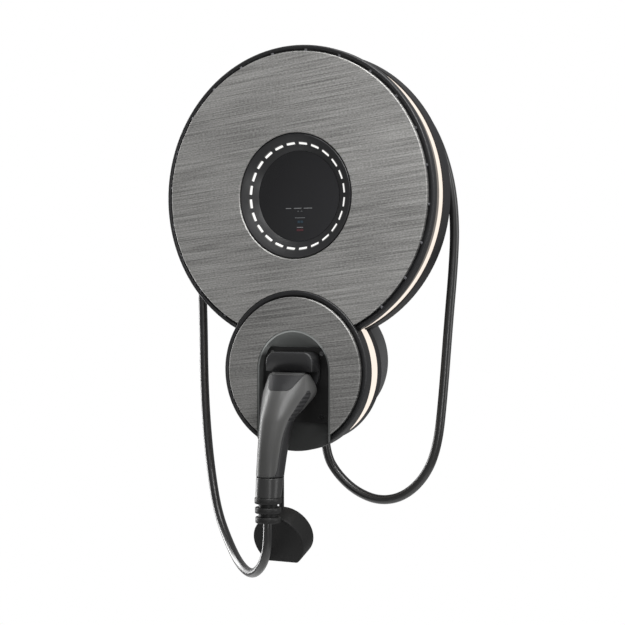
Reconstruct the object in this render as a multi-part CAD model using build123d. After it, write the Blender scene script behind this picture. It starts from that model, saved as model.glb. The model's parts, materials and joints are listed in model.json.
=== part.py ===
from build123d import *
import math
import os

# A wall-hung car charging station: a large round unit with a display, a smaller round dock
# below it, and a charging connector parked in the dock on its own cable.
# Millimetres. X to the right, Y into the wall, Z up. The origin is on the wall plane, on the
# axis of the large disc. Depths are counted from the large front plate towards the wall.

# Overall depths
WALL_DEPTH = 115.0
FIT = 0.3
SNUG = 0.1

# Large disc
RIM_R = 195.0
RIM_W = 5.0
RIM_LEN = 10.0
RIM_ROUND = 2.0
RIM_SET = 3.0
GROOVE_W = 3.3
PLATE_T = 2.5
PLATE_EDGE = 1.0
PLATE_SKIRT = 5.5
CARRIER_T = 3.0
TAB_COUNT = 24
TAB_W = 3.0
TAB_TURN = -4.4
TAB_DROP = 0.5
LIGHT_INSET = 8.0
LIGHT_WALL = 3.6
LIGHT_LEN = 30.5
LIGHT_CARRIER_T = 3.0
REAR_RING_INSET = 3.5
REAR_RING_LEN = 20.5
REAR_WEB_T = 3.0
REAR_WEB_IN = 14.0

# Display in the middle of the large disc
BEZEL_DEPTH = 12.0
BEZEL_T = 2.4
BEZEL_FLANGE = 8.0
BEZEL_W = 23.0
WINDOW_R = 59.0
WINDOW_T = 2.0
WINDOW_LEDGE = 2.5
LED_COUNT = 24
LED_LEN = 11.8
LED_W = 4.4
LED_T = 1.2
LED_OUT = 10.0
BOARD_T = 1.6
DISPLAY_BOARD_OUT = 7.0
DISPLAY_BOARD_GAP = 7.0
DISPLAY_POST_R = 3.0
DISPLAY_POST_OUT = 4.5

# Rear housing
CHANNEL_DEPTH = 21.9
DRUM_WALL = 3.5
DRUM_BACK = 112.0
BACK_WALL_DEPTH = 100.0
BACK_WALL_T = 3.5
GASKET_W = 2.0
GASKET_T = 1.2
COVER_SCREW_COUNT = 6
COVER_SCREW_TURN = 30.0
SCREW_R = 2.0
SCREW_HEAD_R = 3.6
SCREW_HEAD_T = 2.2
BOSS_R = 5.0
BOSS_LEN = 16.0

# Wall bracket
BRACKET_W = 130.0
BRACKET_T = 2.5
BRACKET_TOP_H = 80.0
BRACKET_SLOPE = 12.0
BRACKET_FLANGE = 36.0
WALL_HOLE_R = 4.5
WALL_HOLE_X = 90.0
BRACKET_SCREW_X = 70.0
BRACKET_SCREW_Z = 44.0

# Dock disc
DOCK_OVERLAP = 72.0
DOCK_PROUD = 4.0
DOCK_RIM_R = 104.0
DOCK_RIM_W = 5.5
DOCK_GROOVE_W = 2.5
DOCK_RIM_LEN = 16.0
DOCK_LIGHT_INSET = 7.7
DOCK_LIGHT_LEN = 33.0
DOCK_RING_LEN = 12.5
DOCK_WEB_IN = 22.0
NOTCH_GAP = 0.6
ARCH_R = 53.5
LINER_WALL = 2.5
RAMP_LIP = 3.0
FLANGE_DEPTH = 8.5
FLANGE_T = 4.0
FLANGE_TOP = 31.0
FLANGE_BOTTOM = -67.0
FLANGE_CORNER = 5.0
SOCKET_WALL = 3.0
SOCKET_FLOOR = 2.5
DOCK_SCREW_X = 36.0
DOCK_SCREW_INSET = 8.0
DOCK_SCREW_R = 1.5
DOCK_SCREW_HEAD_R = 3.0
DOCK_SCREW_HEAD_T = 1.5

# Rear drum of the dock
DOCK_DRUM_R = 82.0
DOCK_DRUM_RISE = 10.0
DOCK_DRUM_TAPER = 38.0
DOCK_DRUM_DROP = 76.0
DOCK_DRUM_CORNER = 12.0

# Electrical parts inside the drum
CASE_CORNER = 3.0
CONTACTOR_W = 70.0
CONTACTOR_H = 84.0
CONTACTOR_D = 50.0
METER_W = 54.0
METER_H = 90.0
METER_D = 44.0
SUPPLY_W = 60.0
SUPPLY_H = 46.0
SUPPLY_D = 28.0
TERMINAL_W = 80.0
TERMINAL_H = 26.0
TERMINAL_D = 30.0
TERMINAL_COUNT = 5
TERMINAL_HOLE_R = 3.0
SENSOR_X = 62.0
SENSOR_R = 21.0
SENSOR_BORE_R = 11.0
SENSOR_LEN = 18.0
CONTROL_BOARD_W = 190.0
CONTROL_BOARD_H = 160.0
CONTROL_BOARD_DEPTH = 36.0
CONTROL_BOARD_Z = 15.0
CONTROL_POST_R = 5.0
CONTROL_POST_INSET = 8.0
GROMMET_R = 20.0
GROMMET_LIP = 3.0
GROMMET_T = 2.0
GROMMET_INSET = 47.6

# Cable and gland
CABLE_R = 6.0
GLAND_X = 7.0
GLAND_DEPTH = 75.0
GLAND_BODY_R = 10.0
GLAND_HEX_R = 13.0
GLAND_HEX_LEN = 7.0
GLAND_DOME_R = 11.0
GLAND_MOUTH_R = 8.0
GLAND_DOME_LEN = 10.0
GLAND_NUT_T = 5.0
GLAND_THREAD_LEN = 9.0
CABLE_SPLIT_GAP = 0.3

# Connector
NOSE_DROP = 1.0
HOOD_R = 34.0
HOOD_TOP = 26.0
HOOD_CORNER = 13.0
HOOD_FRONT = -16.0
HOOD_BACK = 8.0
HOOD_GAP = 1.2
HOOD_EDGE = 2.0
SHROUD_R = 31.0
SHROUD_TOP = 24.0
SHROUD_CORNER = 5.0
SHROUD_WALL = 3.0
SHROUD_LEN = 24.0
PIN_CARRIER_R = 23.5
PIN_CARRIER_DROP = 3.5
PIN_SETBACK = 3.0
NECK_R = 12.0
NECK_DROP = 17.0
NECK_LEN = 13.0
CONTACT_R = 3.2
CONTACT_BORE_R = 1.8
CONTACT_RING_R = 14.5
CONTACT_STEP = 45.0
CONTACT_COUNT = 5
SIGNAL_CONTACT_R = 2.2
SIGNAL_CONTACT_X = 6.0
SIGNAL_CONTACT_Z = 16.5
HEAD_BACK = 2.0
HANDLE_LEN = 155.0
HANDLE_SECTIONS = 9
HANDLE_WALL = 3.0
HANDLE_CORNER = 9.0
HEAD_ROUND = 2.5
INLAY_T = 1.2
COLLAR_LEN = 25.0
LABEL_H = 20.0
LABEL_TOP_W = 50.0
LABEL_BOTTOM_W = 31.0
LABEL_CORNER = 4.0
LABEL_FRONT = -70.0
LABEL_BACK = -14.0
SPLIT_DROP = 59.0
SPLIT_END_DEPTH = -75.0
GRIP_FRONT = -60.0
GRIP_BACK = -40.0
GRIP_TOP_DEPTH = -28.0
GRIP_TOP_DROP = 18.0
GRIP_REAR_DEPTH = -13.0
GRIP_REAR_DROP = 34.0
GRIP_PITCH = 5.0
GRIP_GROOVE = 1.8
GRIP_RIBS = 6
SLEEVE_DEPTH = -71.0
SLEEVE_LEN = 32.0
SLEEVE_TOP_R = 17.0
SLEEVE_END_R = 16.0
SLEEVE_CORE_R = 12.0
SLEEVE_RINGS = 3
SLEEVE_RING_SHARE = 0.72
SLEEVE_RING_EDGE = 0.8

# Protective cap on its strap
TETHER_X = -6.0
ANCHOR_DEPTH = -24.0
ANCHOR_DROP = 71.0
ANCHOR_PIN_R = 2.0
ANCHOR_CHEEK_T = 2.2
ANCHOR_H = 16.0
ANCHOR_ROOT = 10.0
ANCHOR_LIP = 1.0
STRAP_W = 6.0
STRAP_T = 2.6
EYE_R = 4.4
CAP_R = 36.0
CAP_FLAT = 29.0
CAP_CORNER = 5.0
CAP_ROUND = 2.0
CAP_WALL = 3.0
CAP_LEN = 30.0
CAP_TILT = 22.0
CAP_FACE_DEPTH = -33.2
CAP_HANG = 147.0

# Long enough to cut right through any piece
REACH = 400.0
STANDING = (Align.CENTER, Align.CENTER, Align.MIN)


def depth(value):
    """The Y of a depth behind the large front plate."""
    return value - WALL_DEPTH


def slab(sketch, near, far):
    """A sketch in X and Z made solid between two depths."""
    return extrude(Plane.XZ.offset(WALL_DEPTH - far) * sketch, far - near)


def disc(radius, near, far, x=0, z=0):
    return slab(Pos(x, z) * Circle(radius), near, far)


def ring(outer, inner, near, far, z=0):
    return slab(Pos(0, z) * (Circle(outer) - Circle(inner)), near, far)


def block(width, height, near, far, x=0, z=0, corner=0):
    shape = RectangleRounded(width, height, corner) if corner else Rectangle(width, height)
    return slab(Pos(x, z) * shape, near, far)


def side_prism(points, half_width):
    """A closed outline of (depth, Z) points carried along X, both ways from the middle."""
    outline = Polygon(*[(depth(d), z) for d, z in points], align=None)
    return extrude(Plane.YZ * outline, half_width, both=True)


def front_edge(solid, radius):
    """The foremost round edge of a given radius."""
    rims = solid.edges().filter_by(GeomType.CIRCLE)
    return rims.filter_by(lambda e: abs(e.radius - radius) < 0.01).sort_by(Axis.Y)[0]


def polar(radius, degrees):
    turn = math.radians(degrees)
    return radius * math.cos(turn), radius * math.sin(turn)


def screw(x, z, seat, length):
    """A screw along Y: its head stands in front of the seat and its shank runs behind it."""
    head = disc(SCREW_HEAD_R, seat - SCREW_HEAD_T, seat, x, z)
    return head + disc(SCREW_R, seat, seat + length, x, z)


def save(shape, node):
    export_step(shape, f"parts/{node}.step")


os.makedirs("parts", exist_ok=True)

# Radii and heights worked out from the sizes above
GROOVE_R = RIM_R - RIM_W
PLATE_R = GROOVE_R - GROOVE_W
LIGHT_R = RIM_R - LIGHT_INSET
LIGHT_IN_R = LIGHT_R - LIGHT_WALL
REAR_RING_R = RIM_R - REAR_RING_INSET
DRUM_R = REAR_RING_R - CHANNEL_DEPTH
DISPLAY_HOLE_R = WINDOW_R + BEZEL_W
LED_R = WINDOW_R + LED_OUT
DISPLAY_BOARD_R = WINDOW_R + DISPLAY_BOARD_OUT
DOCK_Z = DOCK_OVERLAP - RIM_R - DOCK_RIM_R
DOCK_GROOVE_R = DOCK_RIM_R - DOCK_RIM_W
DOCK_PLATE_R = DOCK_GROOVE_R - DOCK_GROOVE_W
DOCK_LIGHT_R = DOCK_RIM_R - DOCK_LIGHT_INSET
DOCK_LIGHT_IN_R = DOCK_LIGHT_R - LIGHT_WALL
DOCK_DRUM_Z = DOCK_Z + DOCK_DRUM_RISE
DOCK_DRUM_BOTTOM = DOCK_Z - DOCK_DRUM_DROP
GROMMET_Z = GROMMET_INSET - DRUM_R
NOSE_Z = DOCK_Z - NOSE_DROP
HANDLE_TOP = NOSE_Z

# Depths worked out from the sizes above
RIM_BACK = RIM_SET + RIM_LEN
CARRIER_BACK = PLATE_SKIRT + CARRIER_T
LIGHT_BACK = RIM_BACK + LIGHT_LEN
RING_BACK = LIGHT_BACK + REAR_RING_LEN
WEB_FRONT = RING_BACK - REAR_WEB_T
DOCK_FRONT = -DOCK_PROUD
DOCK_RIM_FRONT = DOCK_FRONT + RIM_SET
DOCK_CARRIER_FRONT = DOCK_FRONT + PLATE_SKIRT
DOCK_CARRIER_BACK = DOCK_CARRIER_FRONT + CARRIER_T
DOCK_RIM_BACK = DOCK_RIM_FRONT + DOCK_RIM_LEN
DOCK_LIGHT_BACK = DOCK_RIM_BACK + DOCK_LIGHT_LEN
DOCK_RING_BACK = DOCK_LIGHT_BACK + DOCK_RING_LEN
DOCK_WEB_FRONT = DOCK_RING_BACK - REAR_WEB_T
HOUSING_BACK = BACK_WALL_DEPTH + BACK_WALL_T
FLANGE_BACK = FLANGE_DEPTH + FLANGE_T
LINER_BACK = FLANGE_BACK + LINER_WALL
SHROUD_BACK = HOOD_BACK + SHROUD_LEN
SOCKET_BACK = SHROUD_BACK + FIT + SOCKET_FLOOR

# The dock passes through the lower part of the large disc, so the large disc is notched for it
notch = disc(DOCK_RIM_R + NOTCH_GAP, DOCK_FRONT, DOCK_RIM_BACK + NOTCH_GAP, 0, DOCK_Z)
notch += disc(DOCK_LIGHT_R + NOTCH_GAP, DOCK_RIM_BACK, RING_BACK, 0, DOCK_Z)

# Large disc: a front plate with a turned edge, rim, light ring and rear ring
front_plate = ring(PLATE_R, DISPLAY_HOLE_R, 0, PLATE_T)
front_plate += ring(PLATE_R, PLATE_R - PLATE_T, 0, PLATE_SKIRT)
for edge_r in (PLATE_R, DISPLAY_HOLE_R):
    front_plate = chamfer(front_edge(front_plate, edge_r), PLATE_EDGE)
front_plate -= notch

rim_wall = fillet(front_edge(ring(RIM_R, GROOVE_R, RIM_SET, RIM_BACK), RIM_R), RIM_ROUND)
front_rim = rim_wall + ring(GROOVE_R, DISPLAY_HOLE_R, PLATE_SKIRT, CARRIER_BACK)
tab_x = PLATE_R + (GROOVE_W + SNUG) / 2 + SNUG
tab = block(GROOVE_W + SNUG, TAB_W, RIM_SET + TAB_DROP, PLATE_SKIRT, tab_x)
for index in range(TAB_COUNT):
    front_rim += Rot(0, -(TAB_TURN + index * 360 / TAB_COUNT), 0) * tab
front_rim -= notch

light_ring = ring(LIGHT_R, LIGHT_IN_R, CARRIER_BACK, LIGHT_BACK) - notch
CARRIER_R = LIGHT_IN_R - SNUG
light_carrier = ring(CARRIER_R, CARRIER_R - LIGHT_CARRIER_T, CARRIER_BACK, WEB_FRONT) - notch

WEB_HOLE_R = DRUM_R - REAR_WEB_IN
rear_ring = ring(REAR_RING_R, REAR_RING_R - LIGHT_WALL, LIGHT_BACK, RING_BACK)
rear_ring += ring(REAR_RING_R, LIGHT_IN_R, LIGHT_BACK, LIGHT_BACK + REAR_WEB_T)
rear_ring += ring(REAR_RING_R, DRUM_R - FIT, WEB_FRONT, RING_BACK)
rear_ring -= notch
rear_ring += ring(DRUM_R - FIT, WEB_HOLE_R, WEB_FRONT, RING_BACK)
GASKET_R = DRUM_R - DRUM_WALL / 2 + GASKET_W / 2
gasket_groove = ring(GASKET_R, GASKET_R - GASKET_W, RING_BACK - GASKET_T, RING_BACK)
housing_gasket = gasket_groove
rear_ring -= gasket_groove

# Display: dished bezel, light dashes on its slope, window and board
bezel_run = DISPLAY_HOLE_R - FIT - WINDOW_R
slope_angle = math.degrees(math.atan2(BEZEL_DEPTH, bezel_run))
bezel_outline = [
    (DISPLAY_HOLE_R - FIT, 0),
    (WINDOW_R, BEZEL_DEPTH),
    (WINDOW_R - WINDOW_LEDGE, BEZEL_DEPTH + WINDOW_T),
    (WINDOW_R - WINDOW_LEDGE, BEZEL_DEPTH + WINDOW_T + BEZEL_T),
    (WINDOW_R, BEZEL_DEPTH + WINDOW_T + BEZEL_T),
    (DISPLAY_HOLE_R - FIT, CARRIER_BACK + BEZEL_T),
    (DISPLAY_HOLE_R + BEZEL_FLANGE, CARRIER_BACK + BEZEL_T),
    (DISPLAY_HOLE_R + BEZEL_FLANGE, CARRIER_BACK),
    (DISPLAY_HOLE_R - FIT, CARRIER_BACK),
]
bezel_face = Polygon(*[(r, depth(d)) for r, d in bezel_outline], align=None)
display_bezel = revolve(bezel_face, Axis.Y)
display_bezel -= disc(WINDOW_R, BEZEL_DEPTH - FIT, BEZEL_DEPTH + WINDOW_T)
display_window = disc(WINDOW_R - SNUG, BEZEL_DEPTH, BEZEL_DEPTH + WINDOW_T)
DISPLAY_BOARD_DEPTH = BEZEL_DEPTH + WINDOW_T + BEZEL_T + DISPLAY_BOARD_GAP
display_board = disc(DISPLAY_BOARD_R, DISPLAY_BOARD_DEPTH, DISPLAY_BOARD_DEPTH + BOARD_T)
POST_RING_R = WINDOW_R + DISPLAY_POST_OUT
for turn in (45, 135, 225, 315):
    px, pz = polar(POST_RING_R, turn)
    display_bezel += disc(DISPLAY_POST_R, BEZEL_DEPTH, DISPLAY_BOARD_DEPTH, px, pz)

# Each dash lies on the slope of the dish, so its frame leans with the slope
led_depth = BEZEL_DEPTH * (DISPLAY_HOLE_R - FIT - LED_R) / bezel_run
led_plane = Pos(LED_R, depth(led_depth), 0) * Rot(0, 0, -slope_angle)
led_bar = Box(LED_W, LED_T, LED_LEN, align=(Align.CENTER, Align.MIN, Align.CENTER))
led_pocket = Box(LED_W + SNUG, 2 * LED_T, LED_LEN + SNUG)
led_segments = []
for index in range(LED_COUNT):
    spin = Rot(0, -(index + 0.5) * 360 / LED_COUNT, 0)
    display_bezel -= spin * led_plane * led_pocket
    led_segments.append(spin * led_plane * led_bar)

# Rear housing: the drum that the cable hangs over, and the dock's drum below it
taper = math.radians(DOCK_DRUM_TAPER)
side_x = DOCK_DRUM_R * math.cos(taper)
side_z = DOCK_DRUM_Z - DOCK_DRUM_R * math.sin(taper)
foot_x = side_x - (side_z - DOCK_DRUM_BOTTOM) * math.tan(taper)


def dock_drum_outline(inset):
    """The dock drum's outline, drawn in by a wall: a round top with sides that taper to a flat foot."""
    foot_in = inset / math.cos(taper)
    tapered = Polygon(
        (-side_x + foot_in, side_z),
        (-foot_x + foot_in, DOCK_DRUM_BOTTOM + inset),
        (foot_x - foot_in, DOCK_DRUM_BOTTOM + inset),
        (side_x - foot_in, side_z),
        align=None,
    )
    feet = tapered.vertices().sort_by(Axis.Y)[:2]
    tapered = fillet(feet, DOCK_DRUM_CORNER - inset)
    return Pos(0, DOCK_DRUM_Z) * Circle(DOCK_DRUM_R - inset) + tapered


drum_disc = Circle(DRUM_R)
drum_bore = Circle(DRUM_R - DRUM_WALL)
rear_housing = slab(drum_disc - drum_bore, RING_BACK, DRUM_BACK)
rear_housing += slab(drum_disc, BACK_WALL_DEPTH, HOUSING_BACK)
dock_wall = dock_drum_outline(0) - dock_drum_outline(DRUM_WALL) - drum_disc
rear_housing += slab(dock_wall, DOCK_RING_BACK, DRUM_BACK)
rear_housing += slab(dock_drum_outline(0) - drum_disc, BACK_WALL_DEPTH, HOUSING_BACK)

COVER_BOSS_RING_R = DRUM_R - DRUM_WALL - BOSS_R + SNUG
cover_screws = []
for index in range(COVER_SCREW_COUNT):
    bx, bz = polar(COVER_BOSS_RING_R, COVER_SCREW_TURN + index * 360 / COVER_SCREW_COUNT)
    rear_housing += disc(BOSS_R, RING_BACK, RING_BACK + BOSS_LEN, bx, bz)
    rear_housing -= disc(SCREW_R + SNUG, RING_BACK, RING_BACK + BOSS_LEN - BOSS_R, bx, bz)
    rear_ring -= disc(SCREW_R + SNUG, WEB_FRONT, RING_BACK, bx, bz)
    cover_screws.append(screw(bx, bz, WEB_FRONT, REAR_WEB_T + BOSS_R))

# Wall bracket: one folded strip, its middle raised to carry the housing
raised = BRACKET_TOP_H / 2
lower = raised + BRACKET_SLOPE
outer = lower + BRACKET_FLANGE
bracket_line = [
    (WALL_DEPTH, outer),
    (WALL_DEPTH, lower),
    (HOUSING_BACK + BRACKET_T, raised),
    (HOUSING_BACK + BRACKET_T, -raised),
    (WALL_DEPTH, -lower),
    (WALL_DEPTH, -outer),
    (WALL_DEPTH - BRACKET_T, -outer),
    (WALL_DEPTH - BRACKET_T, -lower),
    (HOUSING_BACK, -raised),
    (HOUSING_BACK, raised),
    (WALL_DEPTH - BRACKET_T, lower),
    (WALL_DEPTH - BRACKET_T, outer),
]
wall_bracket = side_prism(bracket_line, BRACKET_W / 2)
WALL_HOLE_Z = lower + outer
for sx in (-1, 1):
    for sz in (-1, 1):
        hole = disc(WALL_HOLE_R, HOUSING_BACK, WALL_DEPTH, sx * WALL_HOLE_X / 2, sz * WALL_HOLE_Z / 2)
        wall_bracket -= hole
bracket_screws = []
for sx in (-1, 1):
    for sz in (-1, 1):
        bx = sx * BRACKET_SCREW_X / 2
        bz = sz * BRACKET_SCREW_Z / 2
        through = disc(SCREW_R + SNUG, BACK_WALL_DEPTH, HOUSING_BACK + BRACKET_T, bx, bz)
        rear_housing -= through
        wall_bracket -= through
        bracket_screws.append(screw(bx, bz, BACK_WALL_DEPTH, BACK_WALL_T + BRACKET_T))

# Supply inlet: a membrane grommet in the back wall, where the house cable comes through
rear_housing -= disc(GROMMET_R, BACK_WALL_DEPTH, HOUSING_BACK, 0, GROMMET_Z)
grommet_skin = BACK_WALL_DEPTH - GROMMET_T
supply_grommet = ring(
    GROMMET_R - SNUG, GROMMET_R - GROMMET_LIP, BACK_WALL_DEPTH, HOUSING_BACK, GROMMET_Z
)
supply_grommet += disc(GROMMET_R + GROMMET_LIP, grommet_skin, BACK_WALL_DEPTH, 0, GROMMET_Z)

# Electrical parts on the back wall, and the control board on posts in front of them
def wall_case(width, height, deep, x, z):
    """A box that stands on the inside of the back wall."""
    return block(width, height, BACK_WALL_DEPTH - deep, BACK_WALL_DEPTH, x, z, CASE_CORNER)


screw_room_x = BRACKET_SCREW_X / 2 + SCREW_HEAD_R + FIT
contactor_x = -screw_room_x - CONTACTOR_W / 2
contactor = wall_case(CONTACTOR_W, CONTACTOR_H, CONTACTOR_D, contactor_x, 0)
contactor_front = BACK_WALL_DEPTH - CONTACTOR_D
step_back = contactor_front + CONTACTOR_D / 4
contactor -= block(
    CONTACTOR_W, CONTACTOR_H / 3, contactor_front, step_back, contactor_x, CONTACTOR_H / 2
)
meter_x = screw_room_x + METER_W / 2
energy_meter = wall_case(METER_W, METER_H, METER_D, meter_x, 0)
supply_z = (BRACKET_SCREW_Z + SUPPLY_H + CONTACTOR_H / 2) / 2 + SCREW_HEAD_R + FIT
power_supply = wall_case(SUPPLY_W, SUPPLY_H, SUPPLY_D, 0, supply_z)
terminal_z = GROMMET_Z + GROMMET_R + GROMMET_LIP + FIT + TERMINAL_H / 2
terminal_block = wall_case(TERMINAL_W, TERMINAL_H, TERMINAL_D, 0, terminal_z)
terminal_front = BACK_WALL_DEPTH - TERMINAL_D
for index in range(TERMINAL_COUNT):
    tx = (index - (TERMINAL_COUNT - 1) / 2) * TERMINAL_W / TERMINAL_COUNT
    well = disc(TERMINAL_HOLE_R, terminal_front, terminal_front + TERMINAL_D / 2, tx, terminal_z)
    terminal_block -= well
residual_sensor = ring(SENSOR_R, SENSOR_BORE_R, BACK_WALL_DEPTH - SENSOR_LEN, BACK_WALL_DEPTH)
residual_sensor = Pos(SENSOR_X, 0, -METER_H / 2 - FIT - SENSOR_R) * residual_sensor

board_back = CONTROL_BOARD_DEPTH + BOARD_T
board_sheet = RectangleRounded(CONTROL_BOARD_W, CONTROL_BOARD_H, CASE_CORNER)
control_board = slab(Pos(0, CONTROL_BOARD_Z) * board_sheet, CONTROL_BOARD_DEPTH, board_back)
for sx in (-1, 1):
    for sz in (-1, 1):
        post_x = sx * (CONTROL_BOARD_W / 2 - CONTROL_POST_INSET)
        post_z = CONTROL_BOARD_Z + sz * (CONTROL_BOARD_H / 2 - CONTROL_POST_INSET)
        rear_housing += disc(CONTROL_POST_R, board_back, BACK_WALL_DEPTH, post_x, post_z)


# Dock: plate with an arched opening, rim, light ring, rear ring
def arch(half_width):
    """An arched opening: a round top on the dock's axis and straight sides down past its edge."""
    leg = Pos(0, DOCK_Z - DOCK_RIM_R / 2) * Rectangle(2 * half_width, DOCK_RIM_R)
    return Pos(0, DOCK_Z) * Circle(half_width) + leg


dock_plate = disc(DOCK_PLATE_R, DOCK_FRONT, DOCK_FRONT + PLATE_T, 0, DOCK_Z)
dock_plate += ring(DOCK_PLATE_R, DOCK_PLATE_R - PLATE_T, DOCK_FRONT, DOCK_CARRIER_FRONT, DOCK_Z)
dock_plate = chamfer(front_edge(dock_plate, DOCK_PLATE_R), PLATE_EDGE)
dock_plate -= slab(arch(ARCH_R), DOCK_FRONT, DOCK_CARRIER_FRONT)

dock_rim_wall = ring(DOCK_RIM_R, DOCK_GROOVE_R, DOCK_RIM_FRONT, DOCK_RIM_BACK, DOCK_Z)
dock_rim_wall = fillet(front_edge(dock_rim_wall, DOCK_RIM_R), RIM_ROUND)
dock_rim = dock_rim_wall + disc(DOCK_GROOVE_R, DOCK_CARRIER_FRONT, DOCK_CARRIER_BACK, 0, DOCK_Z)
dock_rim -= slab(arch(ARCH_R), DOCK_FRONT, LINER_BACK)

dock_light_ring = ring(DOCK_LIGHT_R, DOCK_LIGHT_IN_R, DOCK_RIM_BACK, DOCK_LIGHT_BACK, DOCK_Z)
DOCK_CARRIER_R = DOCK_LIGHT_IN_R - SNUG
dock_light_carrier = ring(
    DOCK_CARRIER_R, DOCK_CARRIER_R - LIGHT_CARRIER_T, DOCK_CARRIER_BACK, DOCK_WEB_FRONT, DOCK_Z
)
dock_light_carrier -= slab(arch(ARCH_R), DOCK_CARRIER_BACK, LINER_BACK + FIT)
dock_rear_ring = ring(DOCK_LIGHT_R, DOCK_LIGHT_IN_R, DOCK_LIGHT_BACK, DOCK_WEB_FRONT, DOCK_Z)
DOCK_WEB_R = DOCK_LIGHT_R - DOCK_WEB_IN
dock_rear_ring += ring(DOCK_LIGHT_R, DOCK_WEB_R, DOCK_WEB_FRONT, DOCK_RING_BACK, DOCK_Z)

# Liner of the dock's recess: a funnel at the top and a ramp at the bottom
liner_outline = arch(ARCH_R - FIT) & (Pos(0, DOCK_Z) * Circle(DOCK_RIM_R))
LINER_IN = ARCH_R - FIT - LINER_WALL
LINER_FRONT = DOCK_FRONT + PLATE_EDGE
flange_top_z = DOCK_Z + FLANGE_TOP
flange_bottom_z = DOCK_Z + FLANGE_BOTTOM
ramp_bottom_z = DOCK_Z - DOCK_RIM_R
recess_side = [
    (LINER_FRONT - PLATE_T, DOCK_Z + LINER_IN),
    (LINER_FRONT, DOCK_Z + LINER_IN),
    (FLANGE_BACK, flange_top_z),
    (FLANGE_BACK, flange_bottom_z),
    (LINER_FRONT + RAMP_LIP, ramp_bottom_z),
    (LINER_FRONT - PLATE_T, ramp_bottom_z),
]
recess = slab(arch(LINER_IN), LINER_FRONT - PLATE_T, FLANGE_BACK) & side_prism(recess_side, ARCH_R)
dock_liner = slab(liner_outline, LINER_FRONT, LINER_BACK) - recess


def shroud_outline(grow):
    """The mating end's outline: a circle with a flat on top, grown by a clearance or a wall."""
    tall = SHROUD_R + SHROUD_TOP + 2 * grow
    middle = NOSE_Z + (SHROUD_TOP - SHROUD_R) / 2
    flat = Pos(0, middle) * Rectangle(2 * (SHROUD_R + grow), tall)
    outline = (Pos(0, NOSE_Z) * Circle(SHROUD_R + grow)) & flat
    corners = outline.vertices().sort_by(Axis.Y)[-2:]
    return fillet(corners, SHROUD_CORNER + grow)


# Parking socket: a flange across the recess with a closed sleeve behind it
flange_h = FLANGE_TOP - FLANGE_BOTTOM - 2 * FIT
flange_mid_z = DOCK_Z + (FLANGE_TOP + FLANGE_BOTTOM) / 2
flange_sheet = Pos(0, flange_mid_z) * RectangleRounded(2 * (LINER_IN - FIT), flange_h, FLANGE_CORNER)
socket_bore = shroud_outline(FIT)
socket_skin = shroud_outline(FIT + SOCKET_WALL)
dock_socket = slab((flange_sheet & arch(LINER_IN - FIT)) - socket_bore, FLANGE_DEPTH, FLANGE_BACK)
dock_socket += slab(socket_skin - socket_bore, FLANGE_BACK, SOCKET_BACK)
dock_socket += slab(socket_skin, SHROUD_BACK + FIT, SOCKET_BACK)
dock_liner -= slab(shroud_outline(FIT + SOCKET_WALL + SNUG), FLANGE_BACK, LINER_BACK)

dock_screws = []
dock_screw_len = FLANGE_T + LINER_WALL
for screw_x in (-DOCK_SCREW_X, DOCK_SCREW_X):
    for screw_z in (flange_top_z - DOCK_SCREW_INSET, flange_bottom_z + DOCK_SCREW_INSET):
        hole = disc(DOCK_SCREW_R + SNUG, FLANGE_DEPTH, LINER_BACK, screw_x, screw_z)
        dock_socket -= hole
        dock_liner -= hole
        shank = disc(DOCK_SCREW_R, FLANGE_DEPTH, FLANGE_DEPTH + dock_screw_len, screw_x, screw_z)
        head = disc(DOCK_SCREW_HEAD_R, FLANGE_DEPTH - DOCK_SCREW_HEAD_T, FLANGE_DEPTH, screw_x, screw_z)
        dock_screws.append(head + shank)


# Cable gland under the dock's drum
def upright(radius, bottom, top, x, d):
    """A cylinder along Z between two heights."""
    place = Pos(x, depth(d), bottom)
    return place * Cylinder(radius, top - bottom, align=STANDING)


def upright_hex(radius, bottom, top, x, d):
    return Pos(x, depth(d), bottom) * extrude(RegularPolygon(radius, 6), top - bottom)


gland_top = DOCK_DRUM_BOTTOM + DRUM_WALL + GLAND_THREAD_LEN
hex_bottom = DOCK_DRUM_BOTTOM - GLAND_HEX_LEN
GLAND_END = hex_bottom - GLAND_DOME_LEN
nut_bottom = DOCK_DRUM_BOTTOM + DRUM_WALL
gland_bore_r = GLAND_BODY_R + SNUG
rear_housing -= upright(gland_bore_r, DOCK_DRUM_BOTTOM, nut_bottom, GLAND_X, GLAND_DEPTH)
cable_gland = upright(GLAND_BODY_R, DOCK_DRUM_BOTTOM, gland_top, GLAND_X, GLAND_DEPTH)
cable_gland += upright_hex(GLAND_HEX_R, hex_bottom, DOCK_DRUM_BOTTOM, GLAND_X, GLAND_DEPTH)
gland_dome = Pos(GLAND_X, depth(GLAND_DEPTH), GLAND_END) * Cone(
    GLAND_MOUTH_R, GLAND_DOME_R, GLAND_DOME_LEN, align=STANDING
)
cable_gland += gland_dome
cable_gland -= upright(CABLE_R + SNUG, GLAND_END, gland_top, GLAND_X, GLAND_DEPTH)
nut_top = nut_bottom + GLAND_NUT_T
gland_nut = upright_hex(GLAND_HEX_R, nut_bottom, nut_top, GLAND_X, GLAND_DEPTH)
gland_nut -= upright(gland_bore_r, nut_bottom, nut_top, GLAND_X, GLAND_DEPTH)

# Connector handle: rounded wedge sections from the head down to the collar.
# Each row: drop below the head's top, depth at front and back, half width at front and back.
handle_rows = [
    (0, -27, -2, 25, 30),
    (24, -49, HEAD_BACK, 21.5, 36),
    (42, -61, -13, 19, 32.5),
    (60, -70, -32, 17.5, 25),
    (97, -80.5, -41.5, 15.8, 20),
    (HANDLE_LEN, -86, -56, 15, 16.5),
]
HANDLE_END = HANDLE_TOP - HANDLE_LEN


def row_slope(index, column):
    """How fast a column of the handle's rows changes at a row, from the rows beside it."""
    before = handle_rows[max(index - 1, 0)]
    after = handle_rows[min(index + 1, len(handle_rows) - 1)]
    return (after[column] - before[column]) / (after[0] - before[0])


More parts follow.
